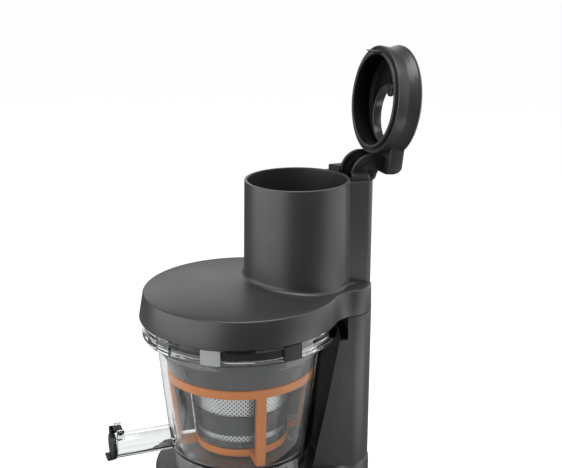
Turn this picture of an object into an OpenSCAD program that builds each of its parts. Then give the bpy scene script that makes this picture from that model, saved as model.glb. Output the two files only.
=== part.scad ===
// Vertical slow juicer: a motor base with a rear tower, a clear juicing bowl with strainer,
// rotating wiper frame and auger, and a turning lid with an off-centre feed chute and a flip-up lid.
// The origin lies on the table under the axis of the bowl. +Z is up, +Y points at the tower.

/* [Heights] */
// Height of the rubber foot ring
foot_h = 4; // [3:0.5:6]
// Height of the motor base, from the foot ring to the deck
base_h = 181; // [176:1:200]
// Height of the bowl, from the deck to the lower edge of the lid
bowl_h = 138; // [134:1:160]
// Height of the lid's skirt
lid_h = 22; // [20:0.5:26]
// Rise of the lid's dome above its rim
dome_h = 7; // [5:0.5:9]
// Height of the feed chute above the lid's rim
chute_h = 89.6; // [75:0.2:110]

/* [Plan] */
// How far the lid's lower edge stands out past the bowl's band
lid_over = 2.3; // [1.5:0.1:4]
// Draft of the lid's skirt over its height
lid_draft = 3.9; // [2:0.1:5]
// Radius of the base at the foot
base_r = 88; // [86:0.5:95]
// Radius of the base at the deck
base_top_r = 76; // [75:0.5:80]
// Half-width of the tower
tower_hw = 44; // [42:0.5:46]
// Flat of the tower's side between the hollow blend and the rear corner
tower_flat = 3.33; // [2:0.01:9]
// Radius of the tower's rear corners
corner_r = 24; // [22:0.5:26]
// Radius of the hollow blend between disc and tower
blend_r = 25; // [20:0.5:27]

/* [Walls] */
// Wall of the base and tower
base_wall = 3; // [2.5:0.1:3.6]
// Wall of the lid and of the feed chute at its mouth
lid_wall = 2.4; // [2:0.1:3]
// Wall of the bowl
bowl_wall = 3.2; // [2.4:0.1:3.6]
// Black liner in the hollow front of the tower
liner_t = 1.5; // [1:0.1:2]

/* [Chute and flip lid] */
// Distance of the chute's axis behind the bowl axis
chute_y = 51.7; // [50:0.1:54]
// Bore radius of the feed chute
chute_r = 42; // [40:0.1:43]
// Half-width of the hinge block behind the chute
block_hw = 27; // [24:0.5:30]
// Height of the flip lid's band above the mouth
band_h = 21.2; // [19:0.1:26]
// Radius of the hole in the flip lid
hole_r = 24.5; // [18:0.5:28]
// How far the flip lid leans back past upright when open
lean = 6.5; // [0:0.5:20]
// Distance of the hinge pin behind the back of the hinge block
hinge_out = 2.9; // [2.6:0.1:4]
// Height of the hinge pin above the mouth
hinge_rise = 0.8; // [0.4:0.1:1]
// Radius of the hinge pin
hinge_pin_r = 1.6; // [1.2:0.1:2]

/* [Bowl] */
// Step from the bowl's wall out to its upper band
band_step = 12; // [11.5:0.1:12.5]
// Height of the bowl's visible band
bowl_band_h = 15; // [12:0.5:18]
// Outer radius of the bowl wall under the band
bowl_top_r = 71; // [70:0.1:72]
// Outer radius of the bowl wall at its floor
bowl_floor_r = 62; // [61:0.1:63]
// Height of the bowl floor above the deck
floor_h = 18; // [17:0.5:22]
// Thickness of the bowl floor
floor_t = 3; // [2.5:0.1:4]
// Bore radius of the juice spout
spout_r = 8; // [6.5:0.1:8.5]
// Reach of the juice spout from the bowl axis
spout_y = 112; // [100:1:120]
// Reach of the pulp spout from the bowl axis
pulp_x = 106; // [98:1:115]

/* [Strainer, wiper and auger] */
// Outer radius of the strainer at its mesh, at the top
mesh_top_r = 44.5; // [44:0.1:45.5]
// Outer radius of the strainer at its foot
mesh_foot_r = 40.5; // [40:0.1:41.5]
// Height of the top of the strainer's mesh above the deck
mesh_h = 80; // [77:0.5:82]
// Height of the strainer's collar above the deck
collar_up = 94.3; // [92:0.1:96]
// Lower edge of the strainer's closed band above the deck
solid_from = 42; // [38:0.5:46]
// Height of the strainer's closed band
solid_h = 18; // [10:0.5:22]
// Room between the lip of the strainer's collar and the bowl's wall
collar_gap = 3.5; // [3:0.1:4.5]
// Room between the wiper frame's ring and the bowl's wall
ring_gap = 2.2; // [1.5:0.1:3]
// Height of the auger's neck above the deck
auger_neck = 122; // [118:1:126]
// Height of the wiper frame's ring
ring_h = 8; // [6:0.5:9]
// Number of bars on the wiper frame
bar_count = 4; // [3:1:8]
// Width of a wiper bar
bar_w = 8.5; // [6:0.5:12]
// Core radius of the auger
auger_core_r = 22; // [18:0.5:26]

/* [Drive] */
// Radius of the drive shaft
shaft_r = 6; // [5:0.1:6.4]
// Width across flats of the shaft's hexagonal end
hex_af = 10.2; // [9:0.1:10.3]
// Length of the shaft's hexagonal end
hex_h = 38; // [34:0.5:38.5]
// Module of the motor pinion and the step wheel
motor_m = 1.2; // [1.2:0.1:1.2]
// Module of the bowl's gears
bowl_m = 1.5; // [1.4:0.05:1.5]
// Outer radius of the motor can
motor_r = 44; // [40:0.5:46]
// Height of the motor can
motor_h = 72; // [66:1:76]
// Outer radius of the gearbox case
gearbox_r = 70; // [69.5:0.5:72]

/* [Control] */
// Radius of the control knob
knob_r = 18; // [14:0.5:22]
// Height of the control knob's axis above the table
knob_z = 70; // [58:1:76]

/* [Fits] */
// Radial running clearance of shafts and pins
run = 0.05; // [0.02:0.01:0.09]
// Gap between loose parts
gap = 0.4; // [0.3:0.05:0.6]
// Backlash at the pitch circle of the gears
backlash = 0.12; // [0.08:0.01:0.2]

/* [Hidden] */
$fn = 96;

// Heights of the main joints above the table
deck_z = foot_h + base_h;
seat_z = deck_z + bowl_h;
rim_z = seat_z + lid_h;
mouth_z = rim_z + chute_h;
far = 400;
eps = 0.01;

// Plan of lid and tower
band_r = bowl_top_r + band_step;
lid_r = band_r + lid_over;
lid_top_r = lid_r - lid_draft;
base_hw = tower_hw * base_r / base_top_r;
blend_end = sqrt(pow(base_r + blend_r, 2) - pow(base_hw + blend_r, 2));
tower_back = blend_end + tower_flat + corner_r;

// Base
plate_t = 4;
base_scale = [base_top_r / base_r, (base_top_r + tower_back) / (base_r + tower_back)];
foot_in = 13;
foot_w = 7;
screw_r = 1.5;
post_r = 5;
// Screw posts reach just into the wall: two in front, two in the rear corners
screw_front = (base_r - base_wall - post_r) * sqrt(0.5);
screw_side = base_hw - base_wall - post_r - 0.4;
screw_rear = tower_back - corner_r - 3;
screw_places = [[screw_front, -screw_front], [-screw_front, -screw_front],
    [screw_side, screw_rear], [-screw_side, screw_rear]];
post_places = [for (a = [45, 135, 225, 315]) (gearbox_r - 10) * [cos(a), sin(a)]];
tower_top = seat_z - gap;

// Hollow front of the tower: wide round the bowl's band, then a cone that follows the wall
notch_r = band_r + 9.5;
notch_z = seat_z - bowl_band_h - 5.5;
cone_top_r = band_r + 3;
cone_slope = 0.169;
cone_foot_r = cone_top_r - cone_slope * (notch_z - deck_z);

// Motor, gearbox and shafts
motor_z = 22;
motor_top = motor_z + motor_h;
rotor_shaft_r = 4;
pinion_n = 12;
wheel_n = 48;
output_n = 60;
// The second pair has the same distance between its axes as the first pair
gear_dist = motor_m * (pinion_n + wheel_n) / 2;
output_m = 2 * gear_dist / (pinion_n + output_n);
gear_way = 60;
gear_face = 10;
output_face = 12;
case_z = motor_top;
case_wall = 3;
pinion_z = case_z + case_wall + 3;
output_z = pinion_z + gear_face + 4;
cover_z = output_z + output_face + 4;
cover_t = 4;
gear_pin_r = 3;
mount_h = 3;
// Circuit board on bosses of the back wall
board_z = 112;
board_in = 12.4;
// Pad behind the knob: from the front wall at the knob's height inwards
pad_deep = 11.6;
pad_y = base_r - (base_r - base_top_r) * (knob_z - foot_h) / base_h - pad_deep;
bearing_r = 11;
bearing_h = 8;
tube_r = bearing_r + 4;
collar_h = 6;

// Bowl interior, heights above the table
bowl_floor_z = deck_z + floor_h;
floor_top = bowl_floor_z + floor_t;
band_z = seat_z - bowl_band_h;
wall_top_z = band_z - 11;

// Inner radius of the bowl's wall at height z
function bowl_in(z) =
    bowl_floor_r - bowl_wall + (bowl_top_r - bowl_floor_r) * (z - floor_top) / (wall_top_z - floor_top);

neck_r = band_r - 4.4;
gasket_h = 2.6;
neck_h = lid_h - lid_wall - gasket_h;
rim_w = 2.6;
bowl_gear_z = floor_top + 1.5;
bowl_gear_h = 6;
auger_n = 18;
wheel_gear_n = 14;
ring_n = auger_n + 2 * wheel_gear_n;
wheel_dist = bowl_m * (auger_n + wheel_gear_n) / 2;
ring_gear_r = bowl_m * ring_n / 2 + 6.5;
stud_r = 2.5;
pulp_hole_x = 25;
pulp_hole_r = 7;
duct_w = 22;
duct_wall = 2;
duct_z = deck_z + 2;
spout_z = floor_top + spout_r + 2.5;
spout_wall = 2.4;
cap_t = 4;
// Hinge pins of the juice cap and the pulp flap
trim_pin_r = 1.2;
cap_hinge_y = 4 - spout_y;
cap_hinge_z = spout_z + spout_r + spout_wall + 3.6;
flap_hinge_x = 4 - pulp_x;
flap_hinge_z = bowl_floor_z + 5;

// Strainer
strainer_z = bowl_gear_z + bowl_gear_h + 1.5;
mesh_top_z = deck_z + mesh_h;
// The ribs run a little into the funnel's skirt, which starts where the mesh ends
mesh_end_z = mesh_top_z - 0.8;
collar_z = deck_z + collar_up;
collar_r = bowl_in(collar_z) - collar_gap;
funnel_r = mesh_top_r + 4.5;
solid_lo = deck_z + solid_from;
solid_hi = solid_lo + solid_h;
strainer_wall = 1.6;
mesh_t = 0.6;
rib_count = 4;

// Wiper frame: its ring hangs under the collar
ring_z = collar_z - 0.4 - ring_h;
ring_r = bowl_in(ring_z) - ring_gap;
ring_w = 5.2;
bar_foot_r = bowl_floor_r - bowl_wall - 1.5;
bar_t = 4;
first_bar = -2;

// Auger and lid centre
auger_z = strainer_z + 3.2;
auger_mid = mesh_top_z + 2;
auger_neck_z = deck_z + auger_neck;
socket_h = hex_h - 6;
auger_pin_r = 4.5;
bush_r = 7;
boss_r = 9.5;
boss_z = rim_z - 6;
dome_in = dome_h - lid_wall;

// Feed ramp under the rear of the chute
ramp_r = neck_r - rim_w;
ramp_lo = rim_z - lid_wall + 1.4;
ramp_hi = rim_z + 9;
chute_base_r = chute_r + lid_wall + 1.3;

// Hinge, flip lid and its arms
hinge_y = tower_back + hinge_out;
hinge_z = mouth_z + hinge_rise;
open_angle = 90 + lean;
spigot_r = chute_r - 1;
flip_r = chute_r + lid_wall + 0.9;
// The hole lies towards the hinge, its tube level with the spigot's inner face
hole_y = chute_y + spigot_r - hole_r - 4.3;
cheek_x = 11.5;
cheek_t = 3.4;
lug_hw = cheek_x - cheek_t / 2 - gap;
lug_r = 4.2;
pocket_r = chute_r + lid_wall + 0.5;
pocket_z = mouth_z - 34;
// The arms just clear the chute's wall in the pocket
cheek_r = hinge_y - chute_y - sqrt(pow(pocket_r, 2) - pow(cheek_x - cheek_t / 2, 2)) - gap;
arm_z = mouth_z + 5.4;
heel_r = 9;
insert_rise = 4.8;

// Points on an arc, from angle a0 to a1 in n steps
function arc(c, r, a0, a1, n) =
    [for (i = [0:n]) let (a = a0 + (a1 - a0) * i / n) c + r * [cos(a), sin(a)]];

// Outline of disc and tower with hollow blends, moved inwards by d
function outline(r, hw, d = 0) =
    let (
        b = blend_r + d,
        by = sqrt(pow(r - d + b, 2) - pow(hw - d + b, 2)),
        ta = atan2(by, hw - d + b),
        c = corner_r - d,
        cx = hw - corner_r,
        cy = tower_back - corner_r
    )
    concat(
        arc([0, 0], r - d, 180 - ta, 360 + ta, 72),
        arc([hw - d + b, by], b, 180 + ta * 5 / 6, 180, 5),
        arc([cx, cy], c, 0, 90, 9),
        arc([-cx, cy], c, 90, 180, 9),
        arc([-(hw - d + b), by], b, 0, -ta * 5 / 6, 5)
    );

// Outline of the tower alone, open to the front, moved inwards by d
function tower_plan(d = 0) =
    let (c = corner_r - d, cx = tower_hw - corner_r, cy = tower_back - corner_r)
    concat(
        [[-(tower_hw - d), 0], [tower_hw - d, 0]],
        arc([cx, cy], c, 0, 90, 12),
        arc([-cx, cy], c, 90, 180, 12)
    );

// Involute gears with a pressure angle of 25 degrees
press = 25;
flank_steps = 4;
function inv(a) = tan(a) * 180 / PI - a;
function half_tooth(n, m, r, slack) =
    let (rp = n * m / 2, rb = rp * cos(press))
    90 / n - slack / rp * 90 / PI + inv(press) - inv(acos(min(1, rb / max(r, rb))));
function flank(n, m, lo, hi, slack) =
    [for (i = [0:flank_steps]) let (r = lo + (hi - lo) * i / flank_steps) [r, half_tooth(n, m, r, slack)]];
function polar(r, a) = r * [cos(a), sin(a)];
function gear_points(n, m, lo, hi, slack) =
    let (
        base = n * m / 2 * cos(press),
        pts = flank(n, m, max(lo, base), hi, slack),
        root = half_tooth(n, m, lo, slack)
    )
    [for (k = [0:n - 1]) each concat(
        [polar(lo, k * 360 / n - root)],
        [for (p = pts) polar(p[0], k * 360 / n - p[1])],
        [for (i = [flank_steps:-1:0]) polar(pts[i][0], k * 360 / n + pts[i][1])],
        [polar(lo, k * 360 / n + root)]
    )];

module gear(n, m, h, turn = 0) {
    rotate(turn) linear_extrude(h)
        polygon(gear_points(n, m, n * m / 2 - 1.25 * m, n * m / 2 + m, backlash / 2));
}

module gear_space(n, m, h, turn = 0) {
    rotate(turn) linear_extrude(h)
        polygon(gear_points(n, m, n * m / 2 - m, n * m / 2 + 1.25 * m, -backlash / 2));
}

module tube(r_out, r_in, h) {
    difference() {
        cylinder(r = r_out, h = h);
        translate([0, 0, -1]) cylinder(r = r_in, h = h + 2);
    }
}

// Cylinder along X from x0 to x1, and along -Y from y0 to y1
module rod_x(r, x0, x1) {
    translate([x0, 0, 0]) rotate([0, 90, 0]) cylinder(r = r, h = x1 - x0);
}

module rod_y(r, y0, y1) {
    translate([0, y0, 0]) rotate([-90, 0, 0]) cylinder(r = r, h = y1 - y0);
}

// Places something on the hinge axis of the flip lid
module at_hinge() {
    translate([0, hinge_y, hinge_z]) children();
}

// ---- Motor base and tower ----

// Tapering body of the base, moved inwards by d
module base_body(d, z0, z1) {
    translate([0, tower_back, z0])
        linear_extrude(z1 - z0, scale = base_scale, slices = 1, segments = 1)
            translate([0, -tower_back]) polygon(outline(base_r, base_hw, d));
}

// Room for the bowl in front of the tower, wider by d
module bowl_room(d) {
    rotate_extrude() polygon([
        [0, deck_z], [cone_foot_r + d, deck_z], [cone_top_r + d, notch_z - d],
        [notch_r + d, notch_z - d], [notch_r + d, far + deck_z], [0, far + deck_z]
    ]);
}

module base_housing() color("#55575a") difference() {
    union() {
        difference() {
            base_body(0, foot_h, deck_z);
            base_body(base_wall, foot_h - eps, deck_z - base_wall);
        }
        difference() {
            translate([0, 0, deck_z - base_wall]) linear_extrude(tower_top - deck_z + base_wall)
                polygon(tower_plan());
            bowl_room(0);
            translate([-far, -far, deck_z - base_wall - 1]) cube([2 * far, far + 62, base_wall + 1]);
        }
        for (p = screw_places) translate([p[0], p[1], foot_h + plate_t])
            cylinder(r = post_r, h = 34);
        for (p = post_places) translate([p[0], p[1], cover_z + cover_t + mount_h])
            cylinder(r = post_r, h = deck_z - cover_z - cover_t - mount_h - eps);
        translate([0, 0, cover_z + cover_t + 8])
            cylinder(r = tube_r, h = deck_z - cover_z - cover_t - 8 - eps);
        translate([0, 0, knob_z]) rod_y(knob_r + 4, -base_r - 1, -pad_y);
        for (x = [-20, 20], z = [6, 50]) translate([x, 0, board_z + z])
            rod_y(2.5, tower_back - base_wall - board_in, tower_back - base_wall / 2);
    }
    // Hollow of the tower, open to the base below
    difference() {
        translate([0, 0, deck_z - base_wall - 1]) linear_extrude(tower_top - deck_z + 1)
            polygon(tower_plan(base_wall));
        bowl_room(base_wall + liner_t);
        translate([-far, -far, 0]) cube([2 * far, far + 75, deck_z]);
    }
    // Seat of the black liner
    intersection() {
        bowl_room(liner_t);
        translate([-tower_hw + 3, 0, deck_z + 2]) cube([2 * tower_hw - 6, far, tower_top - deck_z - 5]);
    }
    // Deck bore: bearing seat, and a narrower way for the shaft seal
    translate([0, 0, cover_z]) cylinder(r = bearing_r, h = deck_z - 8 - cover_z);
    translate([0, 0, cover_z]) cylinder(r = shaft_r + 3, h = far);
    for (p = screw_places) translate([p[0], p[1], foot_h]) cylinder(r = screw_r, h = 26);
    // Way for the knob's stem
    translate([0, 0, knob_z]) rod_y(4.6, -base_r - 2, -pad_y + 1);
    // Mains inlet and air slots in the back
    translate([-14, tower_back - 20, 24]) cube([28, 40, 20]);
    for (i = [0:6]) translate([-22, tower_back - 12, 60 + 8 * i]) cube([44, 24, 3.5]);
}

module tower_liner() color("#1c1d1f") intersection() {
    difference() {
        bowl_room(liner_t);
        bowl_room(0);
    }
    translate([-tower_hw + 3.2, 10, deck_z + 2.2])
        cube([2 * tower_hw - 6.4, far, tower_top - deck_z - 5.4]);
}

module base_plate() color("#2b2c2e") difference() {
    translate([0, 0, foot_h]) linear_extrude(plate_t)
        polygon(outline(base_r, base_hw, base_wall + 0.6));
    for (p = screw_places) translate([p[0], p[1], 0]) {
        cylinder(r = screw_r + 0.5, h = 40);
        cylinder(r = 4, h = foot_h + 2.4);
    }
    // Air slots under the fan
    for (a = [0:30:330]) rotate(a) translate([18, -2, 0]) cube([16, 4, 40]);
}

module foot_ring() color("#1a1a1b") linear_extrude(foot_h) difference() {
    polygon(outline(base_r, base_hw, foot_in));
    polygon(outline(base_r, base_hw, foot_in + foot_w));
}

module base_screws() color("silver") for (p = screw_places) translate([p[0], p[1], 0]) {
    translate([0, 0, foot_h + 0.4]) cylinder(r = 3.5, h = 2);
    translate([0, 0, foot_h + 1]) cylinder(r = screw_r, h = 22);
}

module drive_collar() color("#2b2c2e") translate([0, 0, deck_z]) tube(tube_r - 1, shaft_r + 3, collar_h);

module shaft_seal() color("#8d2f1e") translate([0, 0, deck_z - 6]) tube(shaft_r + 3, shaft_r + run, 10);

module output_bearings() color("silver") {
    translate([0, 0, deck_z - 8 - bearing_h]) tube(bearing_r, shaft_r + run, bearing_h);
    translate([0, 0, cover_z + cover_t]) tube(bearing_r, shaft_r + run, bearing_h);
}

module gearbox_case() color("#8f9296") difference() {
    translate([0, 0, case_z]) cylinder(r = gearbox_r, h = cover_z - case_z);
    translate([0, 0, case_z + case_wall]) cylinder(r = gearbox_r - case_wall, h = far);
    translate([0, 0, case_z - 1]) cylinder(r = rotor_shaft_r + 3, h = far);
    rotate(gear_way) translate([gear_dist, 0, case_z - 1]) cylinder(r = gear_pin_r, h = far);
}

module gearbox_cover() color("#8f9296") difference() {
    union() {
        translate([0, 0, cover_z]) cylinder(r = gearbox_r, h = cover_t);
        translate([0, 0, cover_z]) tube(tube_r, bearing_r, cover_t + 7);
    }
    translate([0, 0, cover_z - 1]) cylinder(r = shaft_r + 2, h = cover_t + 2);
    translate([0, 0, cover_z + cover_t]) cylinder(r = bearing_r, h = far);
    rotate(gear_way) translate([gear_dist, 0, cover_z - 1]) cylinder(r = gear_pin_r, h = far);
}

module gear_pin() color("silver") rotate(gear_way) translate([gear_dist, 0, case_z])
    cylinder(r = gear_pin_r, h = cover_z + cover_t - case_z);

module motor_mounts() color("#1a1a1b") for (p = post_places)
    translate([p[0], p[1], cover_z + cover_t]) cylinder(r = post_r + 1, h = mount_h);

module motor_can() color("#a7aaad") translate([0, 0, motor_z]) difference() {
    cylinder(r = motor_r, h = motor_h);
    translate([0, 0, -1]) cylinder(r = motor_r - 2, h = motor_h + 2);
}

module motor_caps() color("#8f9296") for (z = [motor_z, motor_top - 4]) translate([0, 0, z])
    difference() {
        cylinder(r = motor_r - 2, h = 4);
        translate([0, 0, -1]) cylinder(r = 8, h = 6);
        for (a = [0:60:300]) rotate(a) translate([22, 0, -1]) cylinder(r = 5, h = 6);
    }

module stator_core() color("#6e7073") translate([0, 0, motor_z + 16]) difference() {
    cylinder(r = motor_r - 2, h = motor_h - 32);
    translate([0, 0, -1]) cylinder(r = 25, h = motor_h);
}

module stator_windings() color("#b0652c") for (z = [motor_z + 8, motor_top - 16]) translate([0, 0, z])
    tube(motor_r - 6, 27, 8);

module rotor_bearings() color("silver") for (z = [motor_z, motor_top - 4]) translate([0, 0, z])
    tube(8, rotor_shaft_r + run, 4);

module circuit_board() color("#2f6b3f")
    translate([-26, tower_back - base_wall - board_in - 1.6, board_z]) cube([52, 1.6, 56]);

module capacitor() color("#d8d8d2")
    translate([-22, tower_back - base_wall - board_in - 9.6, board_z + 36]) cube([30, 8, 14]);

module lid_sensor() color("#1c1d1f")
    translate([-8, tower_back - 14, tower_top - base_wall - 6]) cube([16, 8, 6]);

module switch_body() color("#2b2c2e") difference() {
    translate([-15, -pad_y, knob_z - 15]) cube([30, 18, 30]);
    translate([0, 0, knob_z]) rod_y(3 + run, -base_top_r, -pad_y + 13);
}

module power_inlet() color("#1c1d1f") difference() {
    union() {
        translate([-14 + gap, tower_back - 20, 24 + gap]) cube([28 - 2 * gap, 20, 20 - 2 * gap]);
        translate([-17, tower_back, 21]) cube([34, 2, 26]);
    }
    difference() {
        translate([-9, tower_back - 14, 28]) cube([18, 30, 12]);
        for (x = [-4, 4]) translate([x, 0, 34]) rod_y(1.2, tower_back - 16, tower_back - 1);
    }
}

// ---- Rotor, step gear and output ----

module rotor_shaft() color("silver") translate([0, 0, 9])
    cylinder(r = rotor_shaft_r, h = pinion_z + gear_face + 1 - 9);

module rotor_core() color("#7c7f83") translate([0, 0, motor_z + 14]) tube(24, rotor_shaft_r, motor_h - 28);

module motor_pinion() color("#c9a24a") difference() {
    translate([0, 0, pinion_z]) gear(pinion_n, motor_m, gear_face, gear_way);
    cylinder(r = rotor_shaft_r, h = far);
}

module cooling_fan() color("#2b2c2e") translate([0, 0, 11]) {
    tube(9, rotor_shaft_r, 9);
    for (a = [0:45:315]) rotate(a) translate([8, 0, 0]) rotate([35, 0, 0])
        translate([0, -0.9, 0]) cube([26, 1.8, 9]);
}

module step_gear() color("#e8e4d8") rotate(gear_way) translate([gear_dist, 0, 0]) difference() {
    union() {
        translate([0, 0, pinion_z]) gear(wheel_n, motor_m, gear_face, 180 + 180 / wheel_n);
        translate([0, 0, pinion_z + gear_face - eps])
            gear(pinion_n, output_m, output_face + 4, 180);
    }
    cylinder(r = gear_pin_r + run, h = far);
}

module output_gear() color("#e8e4d8") difference() {
    translate([0, 0, output_z]) gear(output_n, output_m, output_face, gear_way + 180 / output_n);
    cylinder(r = shaft_r, h = far);
}

module drive_shaft() color("silver") {
    translate([0, 0, output_z]) cylinder(r = shaft_r, h = floor_top - output_z);
    translate([0, 0, floor_top - 1]) cylinder(r = hex_af / sqrt(3), h = hex_h, $fn = 6);
}

// ---- Control ----

module control_knob() color("#3a3b3d") translate([0, 0, knob_z]) {
    difference() {
        union() {
            rod_y(knob_r, -base_r - 17, -base_r - 1 - gap);
            for (a = [0:30:330]) rotate([0, a, 0]) translate([knob_r - 0.6, -base_r - 15, -1.2])
                cube([1.4, 12, 2.4]);
        }
        translate([-1.5, -base_r - 18, 4]) cube([3, 2, 11]);
    }
    rod_y(4, -base_r - 2, -pad_y - gap);
    rod_y(3, -base_r, -pad_y + 11);
}

module knob_marker() color("#d9793a") translate([-1.5, -base_r - 17, knob_z + 4]) cube([3, 1, 11]);

// ---- Bowl ----

module juicing_bowl() color("#dfe6ea", 0.35) difference() {
    union() {
        rotate_extrude() polygon(concat(
            [[bowl_floor_r - 6.5, deck_z], [bowl_floor_r - 3.5, deck_z], [bowl_floor_r - 3.5, bowl_floor_z - 2],
             [bowl_floor_r, bowl_floor_z + 1], [bowl_top_r, wall_top_z], [bowl_top_r + 3, band_z - 3],
             [bowl_top_r + 6, band_z], [band_r, band_z], [band_r, seat_z - gap], [neck_r, seat_z - gap],
             [neck_r, seat_z + neck_h], [neck_r - rim_w, seat_z + neck_h], [neck_r - rim_w, band_z + 2.6],
             [bowl_top_r - bowl_wall + 0.5, band_z + 2.6], [bowl_top_r - bowl_wall, wall_top_z]],
            [[bowl_floor_r - bowl_wall, floor_top], [shaft_r + 3, floor_top],
             [shaft_r + 3, deck_z + collar_h + 2], [shaft_r + 6, deck_z + collar_h + 2],
             [shaft_r + 6, bowl_floor_z], [bowl_floor_r - 6.5, bowl_floor_z]]
        ));
        // Juice spout and the ears of its cap
        translate([0, 0, spout_z]) rod_y(spout_r + spout_wall, -spout_y, -bowl_floor_r + 1.5);
        spout_ears();
        // Pulp duct under the floor
        translate([-pulp_x, -duct_w / 2, duct_z])
            cube([pulp_x - 14, duct_w, bowl_floor_z + 1 - duct_z]);
        flap_ears();
        // Bayonet tabs round the band
        for (a = [-66, -34, 12.5, 114, 180, 240]) rotate(a)
            translate([band_r - 0.6, -8, band_z + 1]) cube([1.6, 16, bowl_band_h - 2.4]);
    }
    translate([0, 0, spout_z]) rod_y(spout_r, -spout_y - 1, -bowl_floor_r + 12);
    translate([-pulp_x - 1, duct_wall - duct_w / 2, duct_z + duct_wall])
        cube([pulp_x - pulp_hole_x + 1, duct_w - 2 * duct_wall, bowl_floor_z - duct_z - duct_wall]);
    translate([-pulp_hole_x, 0, duct_z + duct_wall]) cylinder(r = pulp_hole_r, h = far);
    rotate(gear_way) translate([wheel_dist, 0, bowl_floor_z + 1]) cylinder(r = stud_r, h = far);
    translate([0, cap_hinge_y, cap_hinge_z]) rod_x(trim_pin_r, -20, 20);
    translate([flap_hinge_x, 0, flap_hinge_z]) rod_y(trim_pin_r, -20, 20);
}

module spout_ears() {
    for (x = [-8, 5.5]) translate([x, cap_hinge_y - 3, spout_z + spout_r - 3])
        cube([2.5, 6, cap_hinge_z + 3 - spout_z - spout_r + 3]);
}

module flap_ears() {
    for (y = [-8, 5.5]) translate([flap_hinge_x - 3, y, bowl_floor_z]) cube([6, 2.5, 8]);
}

module bowl_seal() color("#8d2f1e")
    translate([0, 0, deck_z + collar_h + 2]) tube(shaft_r + 3, shaft_r + run, floor_top - deck_z - collar_h - 4);

module gear_stud() color("silver") rotate(gear_way) translate([wheel_dist, 0, bowl_floor_z + 1])
    cylinder(r = stud_r, h = strainer_z - bowl_floor_z - 1 - 0.3);

// Radius of the strainer at height z
function strainer_r(z) =
    mesh_foot_r + (mesh_top_r - mesh_foot_r) * (z - strainer_z) / (mesh_top_z - strainer_z);

module strainer_band(z0, z1, t) {
    rotate_extrude() polygon([
        [strainer_r(z0) - t, z0], [strainer_r(z0), z0], [strainer_r(z1), z1], [strainer_r(z1) - t, z1]
    ]);
}

module strainer_frame() color("#5d5f62") difference() {
    union() {
        // Flange on the bowl's ledge, collar cone, and funnel down to the mesh
        rotate_extrude() polygon([
            [ramp_r - 0.6, band_z + 2.6], [ramp_r - 0.6, band_z + 5], [bowl_top_r - bowl_wall - 2.6, band_z + 5],
            [collar_r - 2.4, collar_z + 2.4], [funnel_r + 1, collar_z + 1.4], [mesh_top_r - strainer_wall, mesh_top_z + 4],
            [mesh_top_r - strainer_wall, mesh_end_z], [strainer_r(mesh_end_z), mesh_end_z],
            [mesh_top_r, mesh_top_z + 4.5], [funnel_r, collar_z], [collar_r, collar_z],
            [bowl_top_r - bowl_wall - 1, band_z - 6], [bowl_top_r - bowl_wall - 0.2, band_z + 2.6]
        ]);
        strainer_band(solid_lo, solid_hi, strainer_wall);
        strainer_band(strainer_z, strainer_z + 5, strainer_wall);
        translate([0, 0, strainer_z]) tube(mesh_foot_r, 16, 2.4);
        for (i = [0:rib_count - 1]) rotate(first_bar + 360 / rib_count * i) rib();
    }
    translate([-pulp_hole_x, 0, strainer_z - 1]) cylinder(r = pulp_hole_r, h = 6);
}

// Upright rib of the strainer, outside its mesh
module rib() {
    rotate([90, 0, 0]) linear_extrude(2.4, center = true) polygon([
        [mesh_foot_r - strainer_wall, strainer_z], [mesh_foot_r, strainer_z],
        [mesh_top_r, mesh_top_z], [mesh_top_r - strainer_wall, mesh_top_z]
    ]);
}

module strainer_mesh() color("silver") rotate_extrude() polygon([
    [strainer_r(strainer_z + 2.4) - strainer_wall - mesh_t, strainer_z + 2.4],
    [strainer_r(strainer_z + 2.4) - strainer_wall, strainer_z + 2.4],
    [strainer_r(mesh_end_z) - strainer_wall, mesh_end_z],
    [strainer_r(mesh_end_z) - strainer_wall - mesh_t, mesh_end_z]
]);

module cap_pin() color("silver") translate([0, cap_hinge_y, cap_hinge_z]) rod_x(trim_pin_r, -8, 8);

module flap_pin() color("silver") translate([flap_hinge_x, 0, flap_hinge_z]) rod_y(trim_pin_r, -8, 8);

module wheel_gear() color("#e8e4d8") rotate(gear_way) translate([wheel_dist, 0, 0]) difference() {
    translate([0, 0, bowl_gear_z]) gear(wheel_gear_n, bowl_m, bowl_gear_h, 180 + 180 / wheel_gear_n);
    cylinder(r = stud_r + run, h = far);
}

// Outer radius of a wiper bar at height z
function bar_r(z) = bar_foot_r + (ring_r - bar_foot_r) * (z - bowl_gear_z) / (ring_z + 2 - bowl_gear_z);

module wiper_frame() color("#d07a35") {
    // Ring under the collar
    translate([0, 0, ring_z]) tube(ring_r, ring_r - ring_w, ring_h);
    // Ring gear on the floor
    difference() {
        translate([0, 0, bowl_gear_z]) cylinder(r = ring_gear_r, h = bowl_gear_h + 0.5);
        translate([0, 0, bowl_gear_z - 1])
            gear_space(ring_n, bowl_m, bowl_gear_h + 3, gear_way + 180 / ring_n);
    }
    for (i = [0:bar_count - 1]) rotate(first_bar + 360 / bar_count * i) {
        rotate([90, 0, 0]) linear_extrude(bar_w, center = true) polygon([
            [bar_r(bowl_gear_z) - bar_t, bowl_gear_z], [bar_r(bowl_gear_z), bowl_gear_z],
            [bar_r(ring_z + 2), ring_z + 2], [bar_r(ring_z + 2) - bar_t, ring_z + 2]
        ]);
        translate([ring_gear_r - 2, -bar_w / 2, bowl_gear_z]) cube([bar_foot_r - ring_gear_r, bar_w, bowl_gear_h]);
    }
}

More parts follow.
